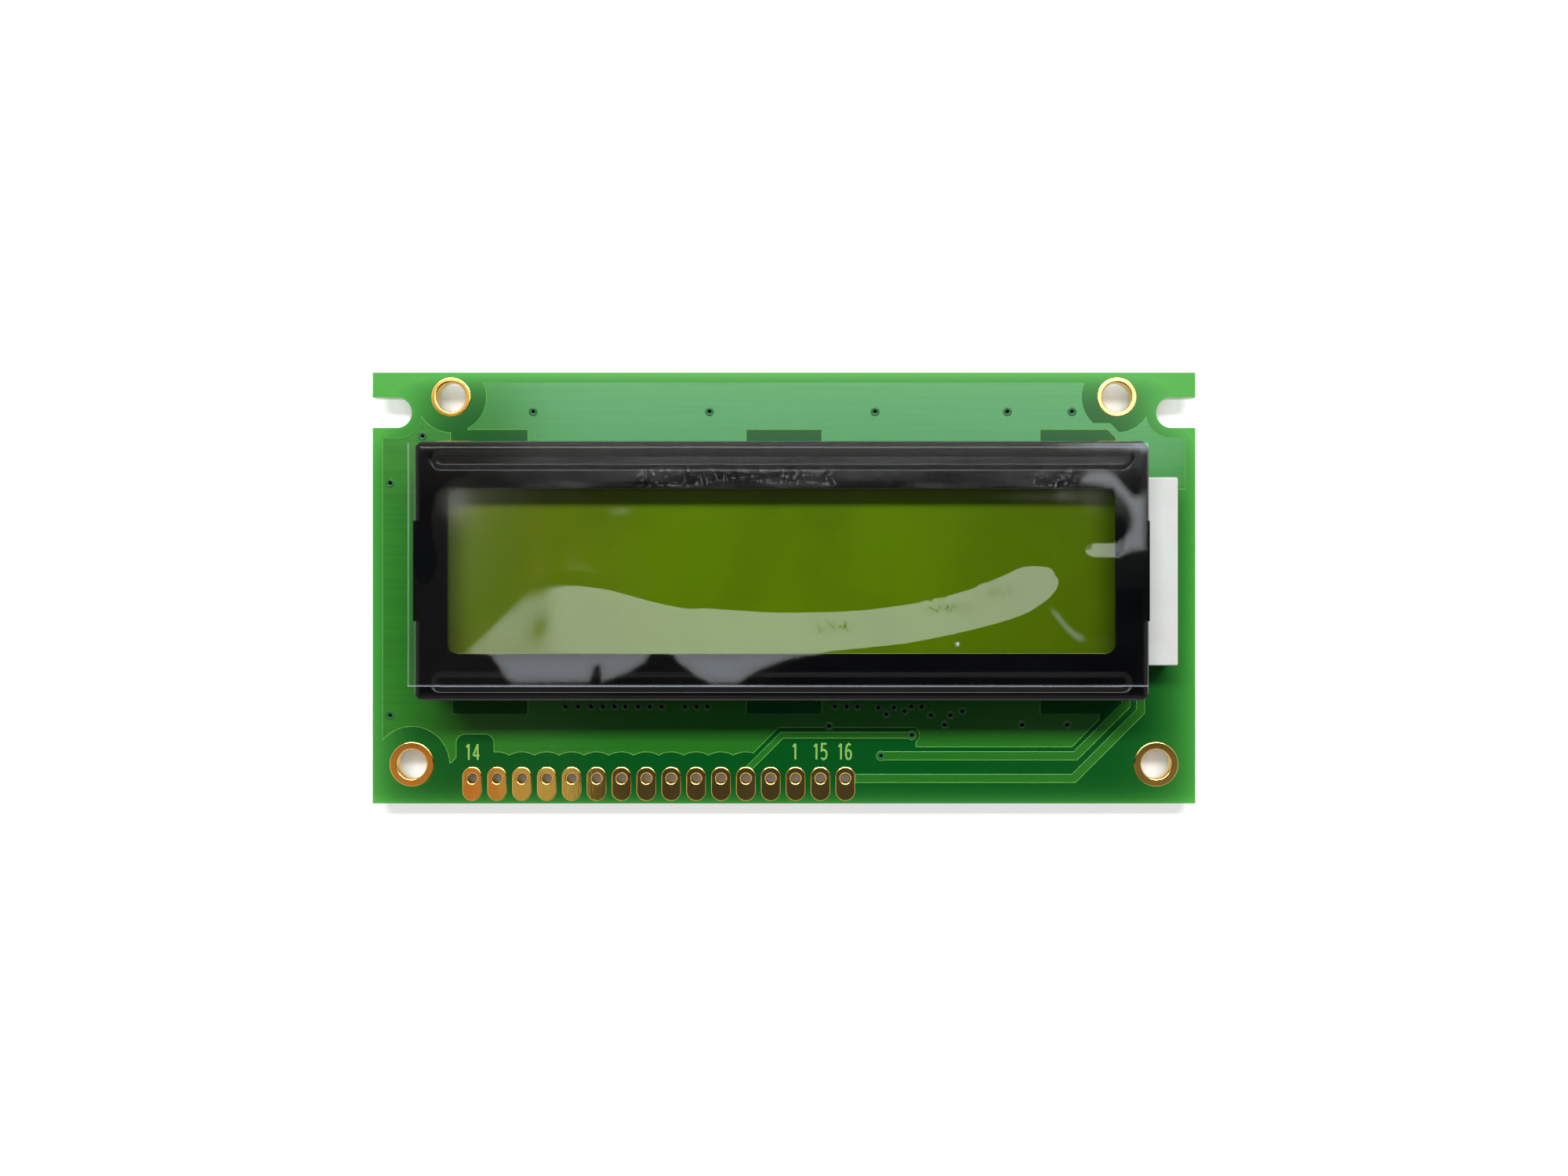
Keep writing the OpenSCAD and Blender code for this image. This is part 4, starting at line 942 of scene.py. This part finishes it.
WAVE_TOP = [(-32.3, -7.5), (-30.4, -5.6), (-28.3, -3.7), (-25.7, -1.3), (-23.9, 0.1), (-20.7, 0.72),
            (-17.5, 0.3), (-14.6, -0.5), (-11.5, -1.3), (-8.5, -1.75), (-7.6, -1.7), (-5.8, -1.8), (0, -2.1),
            (5.8, -2.0), (11.7, -1.4), (17.5, -0.13), (21.0, 1.2), (24.0, 2.3), (25.7, 2.2), (26.6, 1.4),
            (26.9, 0.3)]
WAVE_LOW = [(-36, -9), (0, -7.6), (4.1, -6.35), (8.2, -5.9), (11.7, -5.5), (16.4, -4.6), (20.4, -3.6),
            (23.4, -2.6), (25.7, -1.1), (26.9, 0.3)]
BAND_FALL, DIMPLE_FALL, TOP_RISE, LOW_RISE = 0.08, 0.06, 0.016, 0.02


def film_sag(x, y):
    """Height of the film over the face, by adding up its slope along y. In a wavy band the film
    falls away from the lower edge of the window, above the band it rises evenly back to the
    upper edge, a dimple at the right border turns the mirrored light on again, and over the
    steel it rises a little outward."""
    top = curve_through(WAVE_TOP, x)
    low = curve_through(WAVE_LOW, x)
    soft = 0.35 + 0.9 * step(-x, 14, 22)
    band = step(top - y, -0.3 * soft, soft) * step(y - low, -0.1, 0.35)
    band = band * (1 - step(x, 26.2, 27.4)) * step(x, -32.2, -30.5)
    slope = -(BAND_FALL + 0.02 * step(-x, 22, 27)) * band
    beside = step(x, 28.4, 30.4) * (1 - step(x, 32.2, 33.4))
    dimple = np.exp(-(((y - 3.75) / 0.75) ** 2)) - np.exp(-(((y - 5.9) / 0.9) ** 2))
    inside = (y >= WINDOW_LOW) & (y <= WINDOW_TOP)
    slope = np.where(inside, slope - DIMPLE_FALL * beside * dimple, 0)
    above = step(y - top, 0.0, 1.2) * inside
    pitch = y[1, 0] - y[0, 0]
    slope = slope - above * (slope * pitch).sum(axis=0) / np.maximum((above * pitch).sum(axis=0), 1.0)
    slope = slope + np.where(y > WINDOW_TOP, TOP_RISE, 0) - np.where(y < WINDOW_LOW, LOW_RISE, 0)
    height = np.cumsum(slope, axis=0) * pitch
    return height - height[np.abs(y[:, 0] - WINDOW_TOP).argmin()]


CLINGING = [
    [(-35.2, 12.9), (-34.2, 13.3), (-33.6, 13.3), (-33.6, 12.0), (-32.9, 11.5), (-31.7, 11.3), (-30.7, 11.3),
     (-30.3, 10.9), (-30.8, 10.7), (-31.9, 10.4), (-32.6, 9.9), (-33.4, 8.9), (-33.7, 7.2), (-33.6, 4.7),
     (-33.2, 3.4), (-33.2, 2.2), (-33.6, 1.0), (-34.2, 0.3), (-34.8, 0.4), (-35.3, 1.1), (-35.5, 2.7),
     (-35.5, 4.7), (-35.3, 6.5), (-35.2, 8.5), (-35.2, 11.0)],
    [(-13.9, 9.8), (-14.0, 10.8), (-13.1, 11.3), (0.0, 11.3), (4.9, 11.2), (5.2, 10.0), (2.6, 10.1),
     (-1.1, 10.2), (-3.9, 10.7), (-9.0, 9.9)],
    [(24.1, 9.8), (24.6, 10.7), (25.1, 11.2), (29.1, 11.4), (28.6, 10.8), (27.9, 9.8)],
    [(33.8, 13.6), (34.6, 13.6), (34.6, 9.1), (33.9, 9.0), (33.2, 9.9), (31.9, 11.2), (32.7, 11.5),
     (33.6, 11.8)],
    [(5.2, -6.3), (32.0, -6.3), (32.2, -0.1), (34.9, 0.1), (34.9, -4.9), (34.2, -8.8), (30.0, -9.6),
     (-2.0, -9.6), (0.4, -7.4), (2.6, -6.8)],
]
ROUGH_PATCHES = CLINGING[1:3]
LIFTED = [
    [(28.9, 10.5), (29.8, 11.3), (31.4, 11.3), (32.4, 10.8), (33.2, 9.8), (33.8, 8.9), (35.1, 8.8),
     (35.2, 3.7), (33.7, 3.4), (31.9, 3.0), (31.9, 4.4), (32.8, 4.7), (33.6, 5.6), (33.8, 6.7),
     (33.4, 7.9), (32.7, 8.9), (31.9, 9.5), (30.7, 9.9), (29.5, 10.0), (29.0, 10.1)],
    [(-28.4, -6.2), (-12.6, -6.2), (-13.1, -7.2), (-14.5, -8.1), (-17.3, -9.2), (-17.4, -9.1), (-17.6, -7.6),
     (-17.9, -7.7), (-18.5, -9.2), (-25.9, -9.3), (-26.6, -8.8), (-27.1, -8.1), (-27.6, -7.2)],
    [(-10.6, -6.2), (0.0, -6.2), (5.2, -6.2), (2.6, -6.5), (0.4, -7.0), (-1.1, -7.6), (-2.4, -8.1),
     (-4.2, -9.3), (-6.8, -9.3), (-8.2, -8.6), (-9.5, -7.6), (-10.2, -7.0)],
]
BREATHS = [(-31.3, 8.0, 1.4, 1.6, 0.3), (-15.6, 7.4, 1.4, 0.6, 0.5), (24.1, 8.8, 4.0, 0.7, 0.3),
           (7.9, 4.7, 2.0, 0.5, 0.12), (30.2, 7.0, 1.6, 2.6, 0.12), (31.2, -5.2, 1.6, 1.0, 0.2),
           (34.6, 13.7, 1.0, 0.4, 2.0), (31.5, 13.8, 3.0, 0.3, 1.0)]
SPECK = (17.0, -5.4, 0.14, 0.14, 11.0)
STREAK = [(25.2, -1.3), (26.6, -2.7), (27.6, -3.9), (28.6, -4.7), (29.8, -5.0)]
WET_OVAL, WET_LONG, WET_WIDE = (-23.4, -3.9), 1.1, 0.6
CRINKLED = [(5.0, -3.9, 3.2, 0.7), (16.5, -1.9, 3.4, 0.9), (21.0, -0.2, 2.2, 0.8)]


def over_steel(x, y):
    """Mask of 1 where the film lies over the steel face and 0 over the window."""
    return 1 - patch(x, y, [(-32.2, -6.3), (32.2, -6.3), (32.2, 9.6), (-32.2, 9.6)], 0.12)


def film_bloom(x, y):
    """How milky the film looks: a thin layer of air makes it grey over the steel, most where it
    lifts. Breaths of haze, one white speck and a streak are bell curves about their places, and
    the two free edges are pale."""
    steel = over_steel(x, y)
    bloom = 0.12 * steel
    for outline in LIFTED:
        rise = patch(x, y, outline, 0.5) * (0.3 + 0.7 * patch(x, y, outline, 2.4))
        bloom = np.maximum(bloom, rise * steel)
    for spot_x, spot_y, wide, high, amount in (*BREATHS, SPECK):
        bloom = bloom + amount * np.exp(-(((x - spot_x) / wide) ** 2) - ((y - spot_y) / high) ** 2)
    streak = curve_through(STREAK, x)
    ends = step(x, 25.3, 26.8) * (1 - step(x, 28.6, 29.9))
    bloom = bloom + 0.7 * ends * np.exp(-(((y - streak) / 0.5) ** 2))
    left = 1 - step(x - FILM_X[0], 0.0, 0.2)
    bottom = 1 - step(y - FILM_Y[0], 0.0, 0.2)
    return bloom + np.maximum(1.2 * left, 4.0 * bottom)


def film_clung(x, y):
    """Where the film sticks without air under it, so that its mirroring is lost: the patches on
    the steel, and a bell curve over one small slanting oval in the window."""
    clung = np.zeros_like(x)
    for outline in CLINGING:
        clung = np.maximum(clung, patch(x, y, outline, 0.12))
    from_x, from_y = x - WET_OVAL[0], y - WET_OVAL[1]
    along, across = from_x * 0.35 + from_y * 0.94, from_x * 0.94 - from_y * 0.35
    return np.maximum(clung, 0.7 * np.exp(-((along / WET_LONG) ** 2) - (across / WET_WIDE) ** 2))


def film_crinkle(x, y):
    """Where fine creases show: three spots on the wave and the two rough patches above the window."""
    crinkle = np.zeros_like(x)
    for spot_x, spot_y, wide, high in CRINKLED:
        crinkle = crinkle + np.exp(-(((x - spot_x) / wide) ** 4) - ((y - spot_y) / high) ** 4)
    for outline in ROUGH_PATCHES:
        crinkle = crinkle + patch(x, y, outline, 0.2)
    return np.clip(crinkle, 0, 1)


def film_blur(x, y):
    """Roughness: clear where the film lies well, blurred where it is milky, and over the window
    also where it is creased and at the wave's left end."""
    window = 1 - over_steel(x, y)
    left_end = 0.14 * (1 - step(x, -26, -18))
    return 0.03 + 0.5 * np.clip(film_bloom(x, y), 0, 1) + window * (left_end + 0.06 * film_crinkle(x, y))


# The film is all mirror, and its alpha is what a clear sheet mirrors plus a little for its haze,
# so the rest is seen through it. From below the index is turned over, as light leaves the film.
FILM_INDEX = 1.4
MARKS = {"bloom": film_bloom, "clung": film_clung, "blur": film_blur, "crinkle": film_crinkle}
film_skin = new_material("clear_film", Metallic=1.0)
tree = film_skin.node_tree
bloom, clung, blur, crinkle = (
    wire(tree, "Attribute", {"attribute_name": name}).outputs["Fac"] for name in MARKS)
behind = wire(tree, "NewGeometry").outputs["Backfacing"]
index = ramp(tree, behind, 0.0, 1.0, FILM_INDEX, 1 / FILM_INDEX)
place = wire(tree, "TexCoord").outputs["Object"]
dots = ramp(tree, wire(tree, "TexNoise", Vector=place, Scale=2600.0).outputs[0], 0.5, 0.62, 1.0, 0.45)
dots = calc(tree, "MAXIMUM", dots, calc(tree, "SUBTRACT", 1.0, crinkle))
free = calc(tree, "SUBTRACT", 1.0, calc(tree, "MULTIPLY", clung, dots))
mirror = calc(tree, "MULTIPLY", wire(tree, "Fresnel", IOR=index).outputs[0], free)
creases = calc(tree, "SUBTRACT", stretched_noise(tree, (2400, 900, 1), 2.0, turn=0.5), 0.5)
relief = wire(tree, "Bump", Height=calc(tree, "MULTIPLY", creases, crinkle), Distance=7e-5)
film_inputs = {
    "Alpha": calc(tree, "ADD", mirror, calc(tree, "MULTIPLY", bloom, 0.03)),
    "Roughness": blur,
    "Base Color": mix_colour(tree, bloom, srgb(250, 255, 240), srgb(224, 234, 248)),
    "Normal": relief.outputs[0],
}
for socket, value in film_inputs.items():
    tree.links.new(value, tree.nodes["Principled BSDF"].inputs[socket])

grid_x, grid_y = np.meshgrid(np.linspace(*FILM_X, 320), np.linspace(*FILM_Y, 108))
base = FACE_Z + FILM_GAP + film_sag(grid_x, grid_y)
upper = np.stack([grid_x, grid_y, base + FILM], axis=-1)
lower = np.stack([grid_x, grid_y, base], axis=-1)
rows, columns = grid_x.shape
face = quads(rows, columns)
border = np.concatenate([
    np.arange(columns), np.arange(1, rows) * columns + columns - 1,
    (rows - 1) * columns + np.arange(columns - 2, -1, -1), np.arange(rows - 2, 0, -1) * columns,
])
after = np.roll(border, -1)
count = rows * columns
hem = np.stack([border + count, after + count, after, border], axis=-1)
film_points = np.concatenate([upper.reshape(-1, 3), lower.reshape(-1, 3)])
film_faces = np.concatenate([face, face[:, ::-1] + count, hem])
film_mesh = shell_mesh("protective_sheet", [(film_points, film_faces)], film_skin)
place = np.zeros(len(film_mesh.vertices) * 3)
film_mesh.vertices.foreach_get("co", place)
x, y, _ = place.reshape(-1, 3).T / MM
for name, mark in MARKS.items():
    layer = film_mesh.attributes.new(name, "FLOAT", "POINT")
    layer.data.foreach_set("value", mark(x, y).astype(np.float32))
new_piece("protective_sheet", film_mesh, ("protective_film",))

# ---------------------------------------------------------------- back of the board
# Two chips under poured resin domes, a column of chip resistors, one of capacitors, and the
# solder cones on the backlight's two pins.
DOME_RADIUS, DOME_HEIGHT = 7.0, 1.38


def resin_dome(x, seed):
    """Poured dome: a profile that falls ever faster from the middle, over an outline whose radius
    sways by two slow sines round it, closed by a flat foot."""
    turn = np.linspace(0, 2 * np.pi, 96, endpoint=False)
    out = np.linspace(0, 1, 26)[1:]
    sway = 1 - 0.012 * (1 + np.sin(2 * turn + seed) * 0.6 + np.sin(5 * turn + 2 * seed) * 0.4)
    reach = DOME_RADIUS * out[:, None] * sway[None, :]
    bulge = (1 - out[:, None] ** 2.6) ** 0.8
    ripple = 0.012 * np.sin(3 * turn + seed)[None, :] * np.sin(np.pi * out)[:, None]
    foot = BACK - PLATING
    z = foot - DOME_HEIGHT * np.clip(bulge + ripple, 0, 1)
    rings = np.stack([x + reach * np.cos(turn), DISPLAY_Y + reach * np.sin(turn), z], axis=-1)
    tip = np.full_like(rings[:1], (x, DISPLAY_Y, foot - DOME_HEIGHT))
    middle = np.full_like(rings[:1], (x, DISPLAY_Y, foot))
    points = np.concatenate([tip, rings, middle])
    return points, quads(len(points), len(turn), False, True)


black_resin = mottled("black_resin", srgb(16, 16, 17), srgb(26, 26, 28), (320, 0.6), (2400, 0.15),
                      (0.28, 0.14), 8e-6)
for name, x, seed in (("controller", -20, 1.0), ("driver", 12, 2.6)):
    dome = shell_mesh(name + "_resin", [resin_dome(x, seed)], black_resin)
    new_piece(name + "_resin", dome, (name + "_dome",))


CHIP_BODY = 0.6


def chip_material(name, body, tint, middle, body_rough):
    """Ceramic chip with tinned ends: it is metal where it is further along x from the column's
    middle than half the body."""
    material = mottled(name, body, tint, (900, 0.6), (3000, 0.12), (body_rough, 0.1), 5e-6)
    tree = material.node_tree
    off = calc(tree, "ABSOLUTE", calc(tree, "SUBTRACT", place_axes(tree)[0], middle * MM))
    metal = calc(tree, "GREATER_THAN", off, CHIP_BODY * MM)
    colour = mix_colour(tree, metal, body, srgb(204, 205, 206))
    paint(material, colour, mix_colour(tree, metal, tint, srgb(180, 182, 184)))
    tree.links.new(metal, tree.nodes["Principled BSDF"].inputs["Metallic"])
    return material


dress("resistors", chip_material("resistor_body", srgb(30, 31, 34), srgb(40, 41, 44), 24, 0.35))
dress("capacitors", chip_material("capacitor_body", srgb(168, 138, 98), srgb(150, 120, 84), -31.5, 0.5))
soften("resistors", 0.06)
soften("capacitors", 0.09)


IN_PIN, TIP_RADIUS, FOOT_SPREAD, CONE_HEIGHT = 0.3, 0.36, 0.64, 0.9


def solder_cone(y):
    """Fillet of solder turned about its pin: the radius falls along a concave curve from the pad to
    the pin, and the foot and the tip are closed inside the pin."""
    climb = np.linspace(0, 1, 12)
    radius = np.concatenate([[IN_PIN], TIP_RADIUS + FOOT_SPREAD * (1 - climb) ** 2.2, [IN_PIN]])
    depth = CONE_HEIGHT * np.concatenate([[0.0], climb, [1.0]])
    return turned((PIN_X, y), radius, BACK - PLATING - depth, 40, True)


solder_mesh = shell_mesh("pin_solder", [solder_cone(y) for y in PIN_LEVELS], tinned)
new_piece("pin_solder", solder_mesh, ("backlight_solder",))
